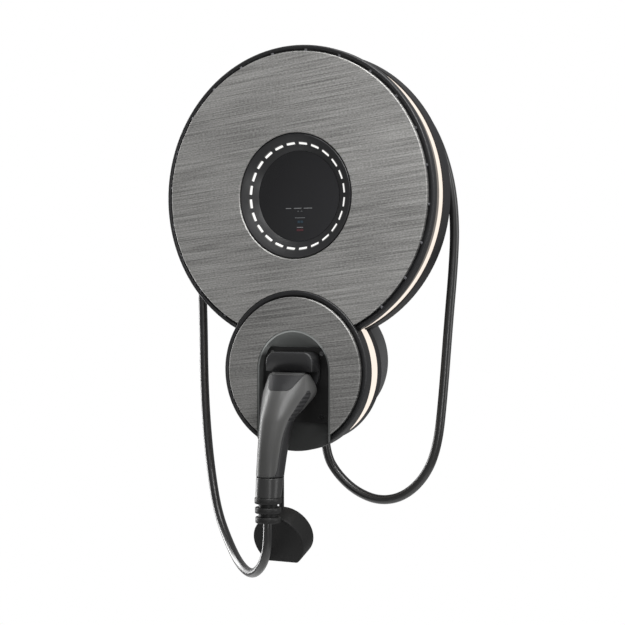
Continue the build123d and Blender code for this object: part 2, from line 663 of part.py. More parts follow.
def handle_size(drop, column):
    """One size of the handle at a drop, on a smooth cubic through the rows."""
    index = sum(row[0] <= drop for row in handle_rows[1:-1])
    low, high = handle_rows[index], handle_rows[index + 1]
    span = high[0] - low[0]
    t = (drop - low[0]) / span
    rise = 3 * t**2 - 2 * t**3
    leave = (t**3 - 2 * t**2 + t) * span * row_slope(index, column)
    arrive = (t**3 - t**2) * span * row_slope(index + 1, column)
    return low[column] + (high[column] - low[column]) * rise + leave + arrive


def handle_section(drop, inset):
    front, back, half_front, half_back = [handle_size(drop, column) for column in (1, 2, 3, 4)]
    outline = Polygon(
        (-half_back + inset, depth(back - inset)),
        (-half_front + inset, depth(front + inset)),
        (half_front - inset, depth(front + inset)),
        (half_back - inset, depth(back - inset)),
        align=None,
    )
    return Pos(0, 0, HANDLE_TOP - drop) * fillet(outline.vertices(), HANDLE_CORNER - inset)


def handle_form(inset):
    """The handle's outer form, drawn in by a wall all round and lowered by it at the top."""
    drops = [HANDLE_LEN * index / HANDLE_SECTIONS for index in range(HANDLE_SECTIONS + 1)]
    form = loft([handle_section(drop, inset) for drop in drops])
    if inset:
        top = Pos(0, depth(SLEEVE_DEPTH), HANDLE_TOP - inset)
        form -= top * Box(REACH, REACH, 2 * inset, align=STANDING)
    return form


handle_outer = handle_form(0)
handle_outer = fillet(handle_outer.edges().group_by(Axis.Z)[-1], HEAD_ROUND)
handle_inner = handle_form(HANDLE_WALL)
inlay_floor = handle_form(INLAY_T)
COLLAR_TOP = HANDLE_END + COLLAR_LEN
collar_band = Pos(0, depth(SLEEVE_DEPTH), HANDLE_END) * Box(REACH, REACH, COLLAR_LEN, align=STANDING)
handle_shell = handle_outer - handle_inner - collar_band
NECK_Z = NOSE_Z - NECK_DROP
handle_shell -= disc(NECK_R + FIT, HEAD_BACK - NECK_LEN, HOOD_BACK, 0, NECK_Z)

# The dark back shell starts under the grips and runs down the back of the handle
SPLIT_TOP = HANDLE_TOP - SPLIT_DROP
back_region = [
    (GRIP_FRONT, SPLIT_TOP),
    (HEAD_BACK, SPLIT_TOP),
    (HEAD_BACK, COLLAR_TOP),
    (SPLIT_END_DEPTH, COLLAR_TOP),
]
back_cut = side_prism(back_region, REACH)
handle_back_shell = handle_shell & back_cut

grip_region = [
    (GRIP_TOP_DEPTH, HANDLE_TOP - GRIP_TOP_DROP),
    (GRIP_REAR_DEPTH, HANDLE_TOP - GRIP_REAR_DROP),
    (GRIP_BACK, SPLIT_TOP),
    (GRIP_FRONT, SPLIT_TOP),
]
grip_cut = side_prism(grip_region, REACH)
handle_front_shell = handle_shell - back_cut - grip_cut
grip_pads = handle_shell & grip_cut
for index in range(GRIP_RIBS):
    rib_z = SPLIT_TOP + GRIP_PITCH * (index + 1)
    grip_pads -= Pos(0, depth(GRIP_FRONT), rib_z) * Box(REACH, REACH, GRIP_GROOVE) - inlay_floor
grip_solids = grip_pads.solids().sort_by(Axis.X)
grip_left = grip_solids[0]
grip_right = grip_solids[-1]

# Bare label field across the slope at the front of the head
label_foot = HANDLE_TOP - LABEL_H
label_outline = Polygon(
    (-LABEL_BOTTOM_W / 2, label_foot),
    (LABEL_BOTTOM_W / 2, label_foot),
    (LABEL_TOP_W / 2, HANDLE_TOP),
    (-LABEL_TOP_W / 2, HANDLE_TOP),
    align=None,
)
label_outline = fillet(label_outline.vertices().sort_by(Axis.Y)[:2], LABEL_CORNER)
label_cut = slab(label_outline, LABEL_FRONT, LABEL_BACK)
label_panel = (handle_outer & label_cut) - inlay_floor
handle_front_shell -= label_panel

lower_collar = handle_outer & collar_band
lower_collar -= upright(CABLE_R + FIT, HANDLE_END, COLLAR_TOP, 0, SLEEVE_DEPTH)

# Hood and shroud of the connector, the contact carrier and its contacts
hood_rect_mid = NOSE_Z + HOOD_TOP / 2
hood_top = Pos(0, hood_rect_mid) * Rectangle(2 * HOOD_R, HOOD_TOP)
hood_top = fillet(hood_top.vertices().sort_by(Axis.Y)[-2:], HOOD_CORNER)
hood_bottom = Pos(0, NOSE_Z - HOOD_R / 2) * Rectangle(2 * HOOD_R, HOOD_R)
hood_outline = hood_top + (hood_bottom & Pos(0, NOSE_Z) * Circle(HOOD_R))
hood = slab(hood_outline, HOOD_FRONT, HOOD_BACK)
hood = fillet(hood.faces().sort_by(Axis.Y)[0].edges(), HOOD_EDGE)
head_back = HEAD_BACK + HOOD_GAP
head_top = HANDLE_TOP + HOOD_GAP
head_room = [
    (HOOD_FRONT - HOOD_R, head_top),
    (head_back, head_top),
    (head_back, head_top - REACH),
    (HOOD_FRONT - HOOD_R, head_top - REACH),
]
connector_nose = hood - side_prism(head_room, REACH)
connector_nose += slab(shroud_outline(0), HOOD_BACK - SHROUD_WALL, SHROUD_BACK)
connector_nose -= slab(shroud_outline(-SHROUD_WALL), HOOD_BACK + SHROUD_WALL, SHROUD_BACK)
CARRIER_Z = NOSE_Z - PIN_CARRIER_DROP
CARRIER_END = SHROUD_BACK - PIN_SETBACK
connector_nose -= disc(PIN_CARRIER_R + SNUG, head_back, SHROUD_BACK, 0, CARRIER_Z)

pin_carrier = disc(PIN_CARRIER_R, head_back, CARRIER_END, 0, CARRIER_Z)
pin_carrier += disc(NECK_R, HEAD_BACK - NECK_LEN, head_back, 0, NECK_Z)
contacts = []
for index in range(CONTACT_COUNT):
    cx, rise = polar(CONTACT_RING_R, 180 + CONTACT_STEP * index)
    cz = CARRIER_Z + rise
    pin_carrier -= disc(CONTACT_R + SNUG, HOOD_BACK, CARRIER_END, cx, cz)
    tube = disc(CONTACT_R, HOOD_BACK, CARRIER_END - FIT, cx, cz)
    contacts.append(tube - disc(CONTACT_BORE_R, HOOD_BACK + CONTACT_R, CARRIER_END, cx, cz))
for sx in (-1, 1):
    cx = sx * SIGNAL_CONTACT_X
    cz = CARRIER_Z + SIGNAL_CONTACT_Z
    pin_carrier -= disc(SIGNAL_CONTACT_R + SNUG, HOOD_BACK, CARRIER_END, cx, cz)
    contacts.append(disc(SIGNAL_CONTACT_R, HOOD_BACK, CARRIER_END - FIT, cx, cz))

# Strain relief: a tapered sleeve of rings on a slimmer core
SLEEVE_END = HANDLE_END - SLEEVE_LEN
sleeve_place = Pos(0, depth(SLEEVE_DEPTH), SLEEVE_END)
strain_relief = sleeve_place * Cylinder(SLEEVE_CORE_R, SLEEVE_LEN, align=STANDING)
ring_pitch = SLEEVE_LEN / SLEEVE_RINGS
ring_len = ring_pitch * SLEEVE_RING_SHARE
for index in range(SLEEVE_RINGS):
    share = index / (SLEEVE_RINGS - 1)
    ring_r = SLEEVE_END_R + (SLEEVE_TOP_R - SLEEVE_END_R) * share
    lug = Cylinder(ring_r, ring_len, align=STANDING)
    lug = chamfer(lug.edges().filter_by(GeomType.CIRCLE), SLEEVE_RING_EDGE)
    strain_relief += Pos(0, depth(SLEEVE_DEPTH), SLEEVE_END + share * (SLEEVE_LEN - ring_len)) * lug
strain_relief -= upright(CABLE_R + SNUG, SLEEVE_END, HANDLE_END, 0, SLEEVE_DEPTH)

# Anchor lug on the back of the handle for the cap's strap
ANCHOR_Z = HANDLE_TOP - ANCHOR_DROP
cheek_x = STRAP_W / 2 + FIT
lug_depth = EYE_R + FIT
anchor_back = ANCHOR_DEPTH - lug_depth
lug_w = 2 * (cheek_x + ANCHOR_CHEEK_T)
anchor_front = ANCHOR_DEPTH + ANCHOR_PIN_R + ANCHOR_LIP
tether_anchor = block(lug_w, ANCHOR_H, anchor_back - ANCHOR_ROOT, anchor_front, TETHER_X, ANCHOR_Z)
tether_anchor -= block(2 * cheek_x, ANCHOR_H, anchor_back, ANCHOR_DEPTH + 2 * EYE_R, TETHER_X, ANCHOR_Z)
pin_axis = Pos(TETHER_X, depth(ANCHOR_DEPTH), ANCHOR_Z) * Rot(0, 90, 0)
tether_anchor += pin_axis * Cylinder(ANCHOR_PIN_R, 2 * cheek_x)
tether_anchor -= handle_outer

# Protective cap: a rubber cup with a flat side down, moulded with its strap and eye
CAP_FACE_Z = ANCHOR_Z - CAP_HANG
cap_tall = CAP_R + CAP_FLAT


def cap_outline(inset):
    flat = Pos(0, (CAP_R - CAP_FLAT) / 2) * Rectangle(2 * CAP_R, cap_tall - 2 * inset)
    outline = Circle(CAP_R - inset) & flat
    corners = outline.vertices().sort_by(Axis.Y)[:2]
    return fillet(corners, CAP_CORNER)


cup = extrude(Plane.XZ * cap_outline(0), -CAP_LEN)
cup = fillet(cup.faces().sort_by(Axis.Y)[0].edges(), CAP_ROUND)
cup -= extrude(Plane.XZ.offset(-CAP_WALL) * cap_outline(CAP_WALL), CAP_WALL - CAP_LEN)
cap_place = Pos(TETHER_X, depth(CAP_FACE_DEPTH), CAP_FACE_Z) * Rot(CAP_TILT, 0, 0)
protective_cap = cap_place * cup
tilt = math.radians(CAP_TILT)
strap_foot = CAP_FACE_Z + CAP_LEN * math.sin(tilt) + CAP_R * math.cos(tilt)
strap = Pos(TETHER_X, depth(ANCHOR_DEPTH), strap_foot - CAP_WALL) * Box(
    STRAP_W, STRAP_T, ANCHOR_Z - strap_foot + CAP_WALL, align=STANDING
)
protective_cap += strap
protective_cap += pin_axis * Cylinder(EYE_R, STRAP_W)
protective_cap -= pin_axis * Cylinder(ANCHOR_PIN_R + FIT, STRAP_W)

# Charging cable: from the gland round the right loop, over the drum and down to the strain relief.
# Each point: X, depth, Z.
GLAND_EXIT = (GLAND_X, GLAND_DEPTH, GLAND_END)
cable_main_points = [
    GLAND_EXIT,
    (7.5, 75.2, -343),
    (18, 76.3, -372),
    (44, 78, -398),
    (81, 80, -409),
    (118, 82, -399),
    (147.5, 84.5, -370),
    (165, 86, -325),
    (172, 87, -260),
    (179, 88, -165),
    (185, 89, -95),
    (187.5, 89, -42),
    (183, 89, 10),
    (169.5, 89, 58),
    (148, 89, 100),
    (111, 89, 140),
    (60, 89, 168.5),
    (0, 89, 179),
    (-60, 89, 168.5),
    (-111, 89, 140),
    (-148, 89, 100),
    (-171, 89, 60),
    (-186, 89, 12),
    (-192, 89, -42),
    (-192.5, 88.5, -105),
    (-190, 88, -175),
    (-188.5, 87, -245),
    (-183, 84, -310),
    (-172, 77, -370),
    (-151, 59, -425),
    (-117, 31, -465),
]
LOOP_FOOT = (-80, -2, -490)
cable_tail_points = [
    LOOP_FOOT,
    (-42, -37, -495),
    (-13, -61, -475),
    (0, SLEEVE_DEPTH, -443),
    (0, SLEEVE_DEPTH, SLEEVE_END),
]


def in_frame(point):
    x, d, z = point
    return Vector(x, depth(d), z)


def cord(points):
    """A round tube along straight runs joined by arcs as large as the runs allow."""
    line = [in_frame(p) if isinstance(p, tuple) else p for p in points]
    radii = []
    for before, corner, after in zip(line, line[1:], line[2:]):
        into, out = corner - before, after - corner
        turn = math.radians(into.get_angle(out))
        radii.append(0.45 * min(into.length, out.length) / math.tan(turn / 2))
    print("cable radii", [round(r) for r in radii])
    path = FilletPolyline(*line, radius=radii)
    start = Plane(origin=path @ 0, z_dir=path % 0)
    tube = sweep(start * Circle(CABLE_R), path=path)
    print("cable length", round(path.length), "volume ratio",
          round(tube.volume / (math.pi * CABLE_R**2 * path.length), 4))
    return tube


# The cable is parted in the middle of the run before the loop's foot
run_start = in_frame(cable_main_points[-1])
run_end = in_frame(LOOP_FOOT)
run_way = (run_end - run_start).normalized()
run_middle = (run_start + run_end) * 0.5
cable_main = cord(cable_main_points + [run_middle - run_way * (CABLE_SPLIT_GAP / 2)])
cable_tail = cord([run_middle + run_way * (CABLE_SPLIT_GAP / 2)] + cable_tail_points)

nodes = {
    "wall_bracket": wall_bracket,
    "bracket_screws": Compound(children=bracket_screws),
    "rear_housing": rear_housing,
    "supply_grommet": supply_grommet,
    "housing_gasket": housing_gasket,
    "rear_ring": rear_ring,
    "cover_screws": Compound(children=cover_screws),
    "light_carrier": light_carrier,
    "light_ring": light_ring,
    "front_rim": front_rim,
    "front_plate": front_plate,
    "display_bezel": display_bezel,
    "display_window": display_window,
    "led_segments": Compound(children=led_segments),
    "display_board": display_board,
    "control_board": control_board,
    "contactor": contactor,
    "energy_meter": energy_meter,
    "power_supply": power_supply,
    "terminal_block": terminal_block,
    "residual_sensor": residual_sensor,
    "dock_rear_ring": dock_rear_ring,
    "dock_light_carrier": dock_light_carrier,
    "dock_light_ring": dock_light_ring,
    "dock_rim": dock_rim,
    "dock_plate": dock_plate,
    "dock_liner": dock_liner,
    "dock_socket": dock_socket,
    "dock_screws": Compound(children=dock_screws),
    "cable_gland": cable_gland,
    "gland_nut": gland_nut,
    "cable_main": cable_main,
    "connector_nose": connector_nose,
    "pin_carrier": pin_carrier,
    "contacts": Compound(children=contacts),
    "handle_front_shell": handle_front_shell,
    "handle_back_shell": handle_back_shell,
    "grip_left": grip_left,
    "grip_right": grip_right,
    "label_panel": label_panel,
    "lower_collar": lower_collar,
    "strain_relief": strain_relief,
    "tether_anchor": tether_anchor,
    "cable_tail": cable_tail,
    "protective_cap": protective_cap,
}
for node, shape in nodes.items():
    save(shape, node)
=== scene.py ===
import json
import math

import bmesh
import bpy
import numpy as np
from bpy.props import FloatProperty, FloatVectorProperty, IntProperty, PointerProperty
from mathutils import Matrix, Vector


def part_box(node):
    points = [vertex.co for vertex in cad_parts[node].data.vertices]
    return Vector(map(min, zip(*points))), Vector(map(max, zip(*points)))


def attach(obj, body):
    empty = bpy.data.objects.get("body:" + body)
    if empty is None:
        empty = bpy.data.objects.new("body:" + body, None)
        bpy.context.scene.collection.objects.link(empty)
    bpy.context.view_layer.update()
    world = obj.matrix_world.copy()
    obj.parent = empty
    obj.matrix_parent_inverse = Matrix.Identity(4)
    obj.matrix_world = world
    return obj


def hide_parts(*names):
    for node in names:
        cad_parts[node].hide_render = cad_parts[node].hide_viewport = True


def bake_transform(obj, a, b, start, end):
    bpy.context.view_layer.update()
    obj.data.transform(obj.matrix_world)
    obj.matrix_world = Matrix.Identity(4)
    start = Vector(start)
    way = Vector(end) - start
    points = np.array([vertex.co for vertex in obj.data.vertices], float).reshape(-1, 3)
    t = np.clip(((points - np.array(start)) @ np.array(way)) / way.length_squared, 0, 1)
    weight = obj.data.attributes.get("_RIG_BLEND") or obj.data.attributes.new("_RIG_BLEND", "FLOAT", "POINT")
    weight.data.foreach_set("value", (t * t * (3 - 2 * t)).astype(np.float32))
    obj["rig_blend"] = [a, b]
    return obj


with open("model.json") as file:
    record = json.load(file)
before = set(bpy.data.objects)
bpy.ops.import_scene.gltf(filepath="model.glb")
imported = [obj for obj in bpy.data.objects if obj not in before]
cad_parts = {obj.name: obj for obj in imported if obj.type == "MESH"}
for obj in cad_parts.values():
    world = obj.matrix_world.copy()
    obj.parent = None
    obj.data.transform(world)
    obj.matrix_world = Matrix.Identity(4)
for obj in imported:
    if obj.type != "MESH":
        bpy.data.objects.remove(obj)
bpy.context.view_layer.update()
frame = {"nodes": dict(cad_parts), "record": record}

bl_info = {
    "name": "Round Wall Charger",
    "version": (1, 0, 0),
    "blender": (4, 5, 0),
    "location": "View3D > Sidebar > Charger",
    "description": "Dresses a wall-hung car charging station with its cable, lit rings and finishes",
    "category": "Object",
}

NODES = frame["nodes"]
MM = 0.001

# Depths are counted from the large front plate towards the wall, and drops from the top of the handle
FRONT_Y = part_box("front_plate")[0].y
HANDLE_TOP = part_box("handle_front_shell")[1].z / MM
COLLAR_DROP = HANDLE_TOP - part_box("lower_collar")[1].z / MM
HANDLE_LENGTH = HANDLE_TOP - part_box("lower_collar")[0].z / MM
WINDOW_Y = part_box("display_window")[0].y

# The lit core of the display's dashes: its radius and half its width in metres, the share of that half
# that is fully lit, and the glow outside it
DASH_RADIUS = 0.0682
DASH_HALF = 0.0019
DASH_CORE = 0.6
DASH_DARK = 0.02

# Strength of the lit strips and dashes
GLOW = 1.0

# The clip tabs in the groove lie inside this radius and in front of this depth; they are this much lighter
TAB_RADIUS = 0.18995
TAB_Y = FRONT_Y + 0.0052
TAB_TONE = 18.0

# The outer wall of the large light strip, as the solid has it and as it is drawn, in metres
STRIP_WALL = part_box("light_ring")[1].z
STRIP_DRAWN = STRIP_WALL + 0.0025
WALL_MARGIN = 0.5 * MM

# The light strips: the share of their depth that is dim, how bright that is, and the width of the change
LARGE_STRIP_DIM = 0.70
DOCK_STRIP_DIM = 0.3
DIM_GLOW = 0.12
DIM_EDGE = 1.5 * MM

# Painted light on the dock liner: its vault is painted lighter, as if lit, from a drop below its top and
# is full after a rise, in metres; the lip at its front takes a share of that tone as a painted highlight
PAINTED_VAULT_DROP = 0.034
PAINTED_VAULT_RISE = 0.016
PAINTED_VAULT_LIGHT = 13.0
PAINTED_LIP_DEPTH = 0.4 * MM
PAINTED_LIP_HIGHLIGHT = 0.3

# The brushed plates: climb and strength of their lines, and the dock plate's tone beside the large one's
BRUSH_CLIMB = math.radians(7)
BRUSH_CONTRAST = 0.44
DOCK_PLATE_TONE = 0.8

# The grain of moulded plastic: how many to the metre, and its depth in metres
MOULD_GRAIN = 900.0
MOULD_DEPTH = 0.00006

# Tones of the zinc bracket and of the dock's dark screws beside bare steel
ZINC_TONE = 0.8
DARK_SCREW_TONE = 0.3

# The dished bezel's closed profile as radius and depth in millimetres, from its groove to the window
BEZEL_PROFILE = np.array([
    (81.7, 8.0), (81.7, 4.2), (80.5, 4.2), (80.5, 1.5), (80.2, 0.95), (79.7, 0.75), (79.1, 0.95),
    (74.0, 4.25), (66.5, 8.2), (60.0, 11.65), (59.2, 12.2), (59.1, 12.8), (59.1, 14.0), (64.0, 14.2),
])
BEZEL_SIDES = 192

# The charging cable's route as X, depth, Z in millimetres, from the gland to the strain relief
CABLE_ROUTE = [
    (7, 75, -320),
    (8.5, 75.2, -342),
    (24, 76.3, -367),
    (51, 78, -389.5),
    (85, 80, -400.5),
    (119.5, 82, -392.5),
    (148.5, 84.5, -365),
    (165, 86, -325),
    (172, 87, -260),
    (179, 88, -165),
    (185, 89, -95),
    (187.5, 89, -42),
    (183, 89, 10),
    (169.5, 89, 58),
    (148, 89, 100),
    (111, 89, 140),
    (60, 89, 168.5),
    (0, 89, 179),
    (-60, 89, 168.5),
    (-111, 89, 140),
    (-148, 89, 100),
    (-171, 89, 60),
    (-186, 89, 12),
    (-192, 89, -42),
    (-192.5, 88.5, -105),
    (-190, 88, -175),
    (-188.5, 87, -245),
    (-183, 84, -310),
    (-172, 77, -370),
    (-151, 59, -425),
    (-117, 31, -462),
    (-80, -2, -486),
    (-42, -37, -490.5),
    (-13, -61, -472),
    (0, -71, -443),
    (0, -71, -415),
]

# The handle's sections: drop, depth at front and back, half width at front and back, in millimetres
HANDLE_ROWS = np.array([
    (0, -27, -2, 25, 30),
    (24, -49, 8, 22, 45),
    (42, -61, -10, 19.5, 37),
    (60, -70, -32, 17.5, 25),
    (97, -80.5, -41.5, 15.8, 20),
    (155, -86, -56, 15, 16.5),
])

# Seams on the handle's side: drop, and how far round the section from its front (-1) to its back (1)
SHELL_SEAM = np.array([
    (18, -0.10), (30, -0.25), (43, -0.27), (60, -0.24), (80, -0.40),
    (100, -0.44), (120, -0.50), (126, -0.62), (129, -0.86),
])
GRIP_REAR = np.array([(22, -0.06), (26, 0.06), (32, 0.12), (43, 0.20), (59, 0.36)])
GRIP_DROPS = (22.0, 59.0)
BACK_DROPS = (59.5, 129.0)

# The bare label field: drop at its top and foot, half width there, and the corner radius of its foot
LABEL_DROPS = (2.6, 22.0)
LABEL_HALVES = (25.5, 15.5)
LABEL_CORNER = 4.0
LABEL_SAMPLES = 2000

# The gap under the hood, a near-black neck as painted shadow: how far the handle's neck runs down, and how
# deep it lies under the shell
NECK_DROP = 5.0
NECK_SINK = 3.0
NECK_ROUNDING = 0.4

# The shell's top and rounded ends, its gap to the collar, and how far the collar stands proud of it
SHELL_TOP = 1.8
SHELL_ROUNDING = 2.0
COLLAR_GAP = 0.6
COLLAR_ROUNDING = 0.8
COLLAR_LIFT = 0.2
ROUNDING_STEPS = 7

# Steps over which the handle's slopes are taken, as a drop in millimetres and as a turn
DROP_STEP = 0.05
TURN_STEP = 0.01

# The border of a field on the handle: steps across it from its edge, and its height there as a share
BORDER_STEPS = np.array([0, 0.004, 0.012])
BORDER_HEIGHTS = np.array([-1.5, 0.5, 0.9])
BORDER_END = 0.03

# Facets down and across the fields, and the share of a grip's width over which its ribs rise
LABEL_GRID = (24, 48)
GRIP_GRID = (150, 30)
BACK_GRID = (90, 70)
RIB_MARGIN = 0.08

# Bars of the display's legend: X, Z, width and height in millimetres, and the colour group
LEGEND_BARS = [
    (-15, -15.8, 8.0, 0.8, "bright"),
    (-1.5, -15.8, 11, 0.8, "bright"),
    (13.5, -15.8, 12, 0.8, "bright"),
    (-0.8, -19.6, 2.2, 0.7, "pale"),
    (4.2, -19.6, 2.2, 0.7, "pale"),
    (2, -28.2, 15, 0.8, "pale"),
    (0.2, -33.4, 3.6, 3.2, "blue"),
    (4.6, -33.4, 3.6, 3.2, "blue"),
    (2, -40.6, 9, 0.8, "bright"),
    (2, -44.0, 9.5, 2.8, "red"),
]

# The studio's lights: name, power in watts, width and height, place and aim in metres
MIDDLE = (0, FRONT_Y, -0.15)
LIGHTS = [
    ("left_light", 21, (0.4, 1.6), (-1.5, 0.14, 0.0), MIDDLE),
    ("near_light", 4.5, (0.35, 0.35), (1.2, -1.9, -0.5), MIDDLE),
    ("right_light", 8, (0.5, 1.5), (1.6, 0.15, 0.1), MIDDLE),
    ("key_light", 9.6, (0.5, 0.5), (0.62, -0.66, 0.6), (0.05, FRONT_Y, 0.0)),
    ("front_light", 3, (0.9, 1.2), (0.2, -2.4, 0.5), MIDDLE),
    ("top_light", 25, (1.2, 0.8), (0.25, -0.5, 1.6), MIDDLE),
]
FLOOR_HALF = 1.2
FLOOR_POINTS = 9

# Angles past which an edge stays hard, in degrees
NODE_SHARP = 32.0
TURNED_SHARP = 40.0
FIELD_SHARP = 50.0
BAR_SHARP = 30.0

# Points of a solid that lie closer than this are joined, in metres
MERGE_DISTANCE = 1e-6

# The cable's smooth curve: its order, and its steps between two points of the route
CABLE_ORDER = 3
CABLE_STEPS = 10

# The body that each node of the solids moves with, and its slot
BODY_OF = {
    node: body for body, nodes in frame["record"]["behaviour"]["bodies"].items() for node in nodes
}


# Sizes, colours and stage

def colour(name, default):
    return FloatVectorProperty(
        name=name, description=f"Base colour of the {name.lower()}", subtype="COLOR",
        size=3, min=0, max=1, default=default,
    )


def length(name, description, default):
    return FloatProperty(name=name, description=description, default=default, unit="LENGTH")


class ChargerSizes(bpy.types.PropertyGroup):
    """Sizes of the pieces that are drawn here."""

    cable_diameter: length("Cable diameter", "Outer diameter of the cable's jacket", 12 * MM)
    cable_sides: IntProperty(name="Cable sides", description="Facets round the cable", default=28, min=8)
    handle_sides: IntProperty(
        name="Handle sides", description="Facets round the handle", default=168, min=24,
    )
    handle_rows: IntProperty(
        name="Handle rows", description="Facets along the handle", default=120, min=24,
    )
    section_power: FloatProperty(
        name="Section power", description="Squareness of the handle's sections", default=2.3, min=2,
    )
    pad_lift: length("Pad lift", "How far the inlaid fields stand proud of the handle", 0.35 * MM)
    rib_lift: length("Rib lift", "Height of the ribs on the grips", 0.7 * MM)
    rib_pitch: length("Rib pitch", "Distance from rib to rib on the grips", 5.0 * MM)
    legend_lift: length("Legend lift", "How far the legend stands proud of the window", 0.15 * MM)


class ChargerColours(bpy.types.PropertyGroup):
    """Colours of the finishes."""

    plate: colour("Brushed plate", (0.270, 0.267, 0.259))
    rim: colour("Rims", (0.013, 0.013, 0.014))
    ring: colour("Rear rings", (0.009, 0.009, 0.010))
    housing: colour("Rear housing", (0.075, 0.076, 0.078))
    strip: colour("Light strip", (0.96, 0.855, 0.755))
    dash: colour("Light dashes", (1.0, 0.99, 0.97))
    bezel: colour("Display bezel", (0.011, 0.011, 0.012))
    window: colour("Display window", (0.011, 0.011, 0.012))
    liner: colour("Dock liner", (0.024, 0.025, 0.0245))
    socket: colour("Parking socket", (0.004, 0.004, 0.004))
    hood: colour("Connector hood", (0.021, 0.021, 0.022))
    shell: colour("Handle shell", (0.052, 0.052, 0.051))
    dark: colour("Handle back", (0.011, 0.011, 0.012))
    collar: colour("Handle collar", (0.022, 0.022, 0.022))
    grip: colour("Grips", (0.011, 0.011, 0.012))
    rubber: colour("Cap and sleeve", (0.010, 0.010, 0.010))
    cable: colour("Cable jacket", (0.010, 0.010, 0.010))
    steel: colour("Screws and bracket", (0.55, 0.55, 0.56))
    device: colour("Electrical cases", (0.42, 0.43, 0.44))
    board: colour("Circuit boards", (0.015, 0.13, 0.05))
    contact: colour("Contacts", (0.72, 0.66, 0.52))
    bright: colour("Bright legend", (0.20, 0.205, 0.21))
    pale: colour("Pale legend", (0.11, 0.115, 0.12))
    blue: colour("Blue legend", (0.010, 0.026, 0.040))
    red: colour("Red legend", (0.050, 0.007, 0.012))
    floor: colour("Floor", (0.90, 0.90, 0.90))


class ChargerStage(bpy.types.PropertyGroup):
    """Camera, lights and floor."""

    lens: FloatProperty(
        name="Lens", description="Focal length in millimetres", unit="CAMERA", default=97.446,
    )
    sensor: FloatProperty(
        name="Sensor", description="Sensor width in millimetres", unit="CAMERA", default=36.0,
    )
    camera_place: FloatVectorProperty(
        name="Camera place", description="Where the camera stands", subtype="TRANSLATION", unit="LENGTH",
        default=(1.027769, -2.050917, -0.106038),
    )
    camera_yaw: FloatProperty(
        name="Camera yaw", description="Turn about the upright axis", subtype="ANGLE",
        default=math.radians(27.3496),
    )
    camera_pitch: FloatProperty(
        name="Camera pitch", description="Tilt down from level", subtype="ANGLE",
        default=math.radians(1.1789),
    )
    floor_height: length("Floor height", "Height of the floor in the part's frame", -1.2)
    backdrop: FloatProperty(name="Backdrop", description="Brightness of the white backdrop", default=1.0)
    surround: FloatProperty(
        name="Surround", description="Strength of the soft light all round", default=0.32,
    )


def sizes():
    return bpy.context.scene.charger_sizes


def colours():
    return bpy.context.scene.charger_colours


def settings():
    return bpy.context.scene.charger_stage


# Node trees

def new_finish(name, **values):
    """A material with a principled shader whose sockets hold the given values."""
    material = bpy.data.materials.new(name)
    material.use_nodes = True
    shader = shader_of(material)
    for socket, value in values.items():
        shader.inputs[socket.replace("_", " ")].default_value = value
    return material


def shader_of(material):
    return material.node_tree.nodes["Principled BSDF"]


def add(material, kind, inputs=None, **settings_of_node):
    node = material.node_tree.nodes.new(kind)
    for key, value in settings_of_node.items():
        setattr(node, key, value)
    for key, value in (inputs or {}).items():
        node.inputs[key].default_value = value
    return node


def join(material, output, target):
    material.node_tree.links.new(output, target)


def wire(material, **outputs):
    """Joins outputs to the sockets of the principled shader that bear their names."""
    for socket, output in outputs.items():
        join(material, output, shader_of(material).inputs[socket.replace("_", " ")])


def place(material, scale=(1, 1, 1), turn=(0, 0, 0), source="Object"):
    """Coordinates of the piece itself, turned and then stretched by Mapping nodes."""
    coordinates = add(material, "ShaderNodeTexCoord").outputs[source]
    for values in ({"Rotation": turn}, {"Scale": scale}):
        mapping = add(material, "ShaderNodeMapping", values)
        join(material, coordinates, mapping.inputs["Vector"])
        coordinates = mapping.outputs["Vector"]
    return coordinates


def noise(material, vector, scale=1.0, detail=3.0):
    texture = add(material, "ShaderNodeTexNoise", {"Scale": scale, "Detail": detail})
    join(material, vector, texture.inputs["Vector"])
    return texture.outputs["Fac"]


def spread(material, value, low, high, from_low=0.3, from_high=0.7):
    """A value carried from one range to another."""
    ranged = add(
        material, "ShaderNodeMapRange",
        {"From Min": from_low, "From Max": from_high, "To Min": low, "To Max": high},
    )
    join(material, value, ranged.inputs["Value"])
    return ranged.outputs["Result"]


def scaled(material, value, factor, plus=None):
    """A value times a factor, plus another value where one is given."""
    node = add(material, "ShaderNodeMath", {1: factor, 2: 0.0}, operation="MULTIPLY_ADD")
    join(material, value, node.inputs[0])
    if plus:
        join(material, plus, node.inputs[2])
    return node.outputs[0]


def two_tone(material, value, dark, light):
    """Two colours mixed by a value between 0 and 1."""
    mix = add(material, "ShaderNodeMix", data_type="RGBA")
    sockets = {socket.identifier: socket for socket in [*mix.inputs, *mix.outputs]}
    sockets["A_Color"].default_value = (*dark, 1)
    sockets["B_Color"].default_value = (*light, 1)
    join(material, value, sockets["Factor_Float"])
    return sockets["Result_Color"]


def shade(base, factor):
    return tuple(min(1.0, channel * factor) for channel in base)


def mottled(material, value, base, share):
    """A colour that a value from 0 to 1 carries from a share darker to a share lighter."""
    return two_tone(material, value, shade(base, 1 - share), shade(base, 1 + share))


def bump(material, height, strength, distance):
    node = add(material, "ShaderNodeBump", {"Strength": strength, "Distance": distance})
    join(material, height, node.inputs["Height"])
    return node.outputs["Normal"]


def across(material, axis):
    """One of the piece's own coordinates, in metres."""
    split = add(material, "ShaderNodeSeparateXYZ")
    join(material, place(material), split.inputs["Vector"])
    return split.outputs[axis]


def depth_of(material):
    return across(material, "Y")


def radius_of(material):
    """How far a point lies from the large disc's axis."""
    reach = add(material, "ShaderNodeVectorMath", operation="LENGTH")
    join(material, place(material, (1, 0, 1)), reach.inputs[0])
    return reach.outputs["Value"]


def compared(material, operation, value, other):
    node = add(material, "ShaderNodeMath", {1: other}, operation=operation)
    join(material, value, node.inputs[0])
    return node.outputs[0]


# Finishes

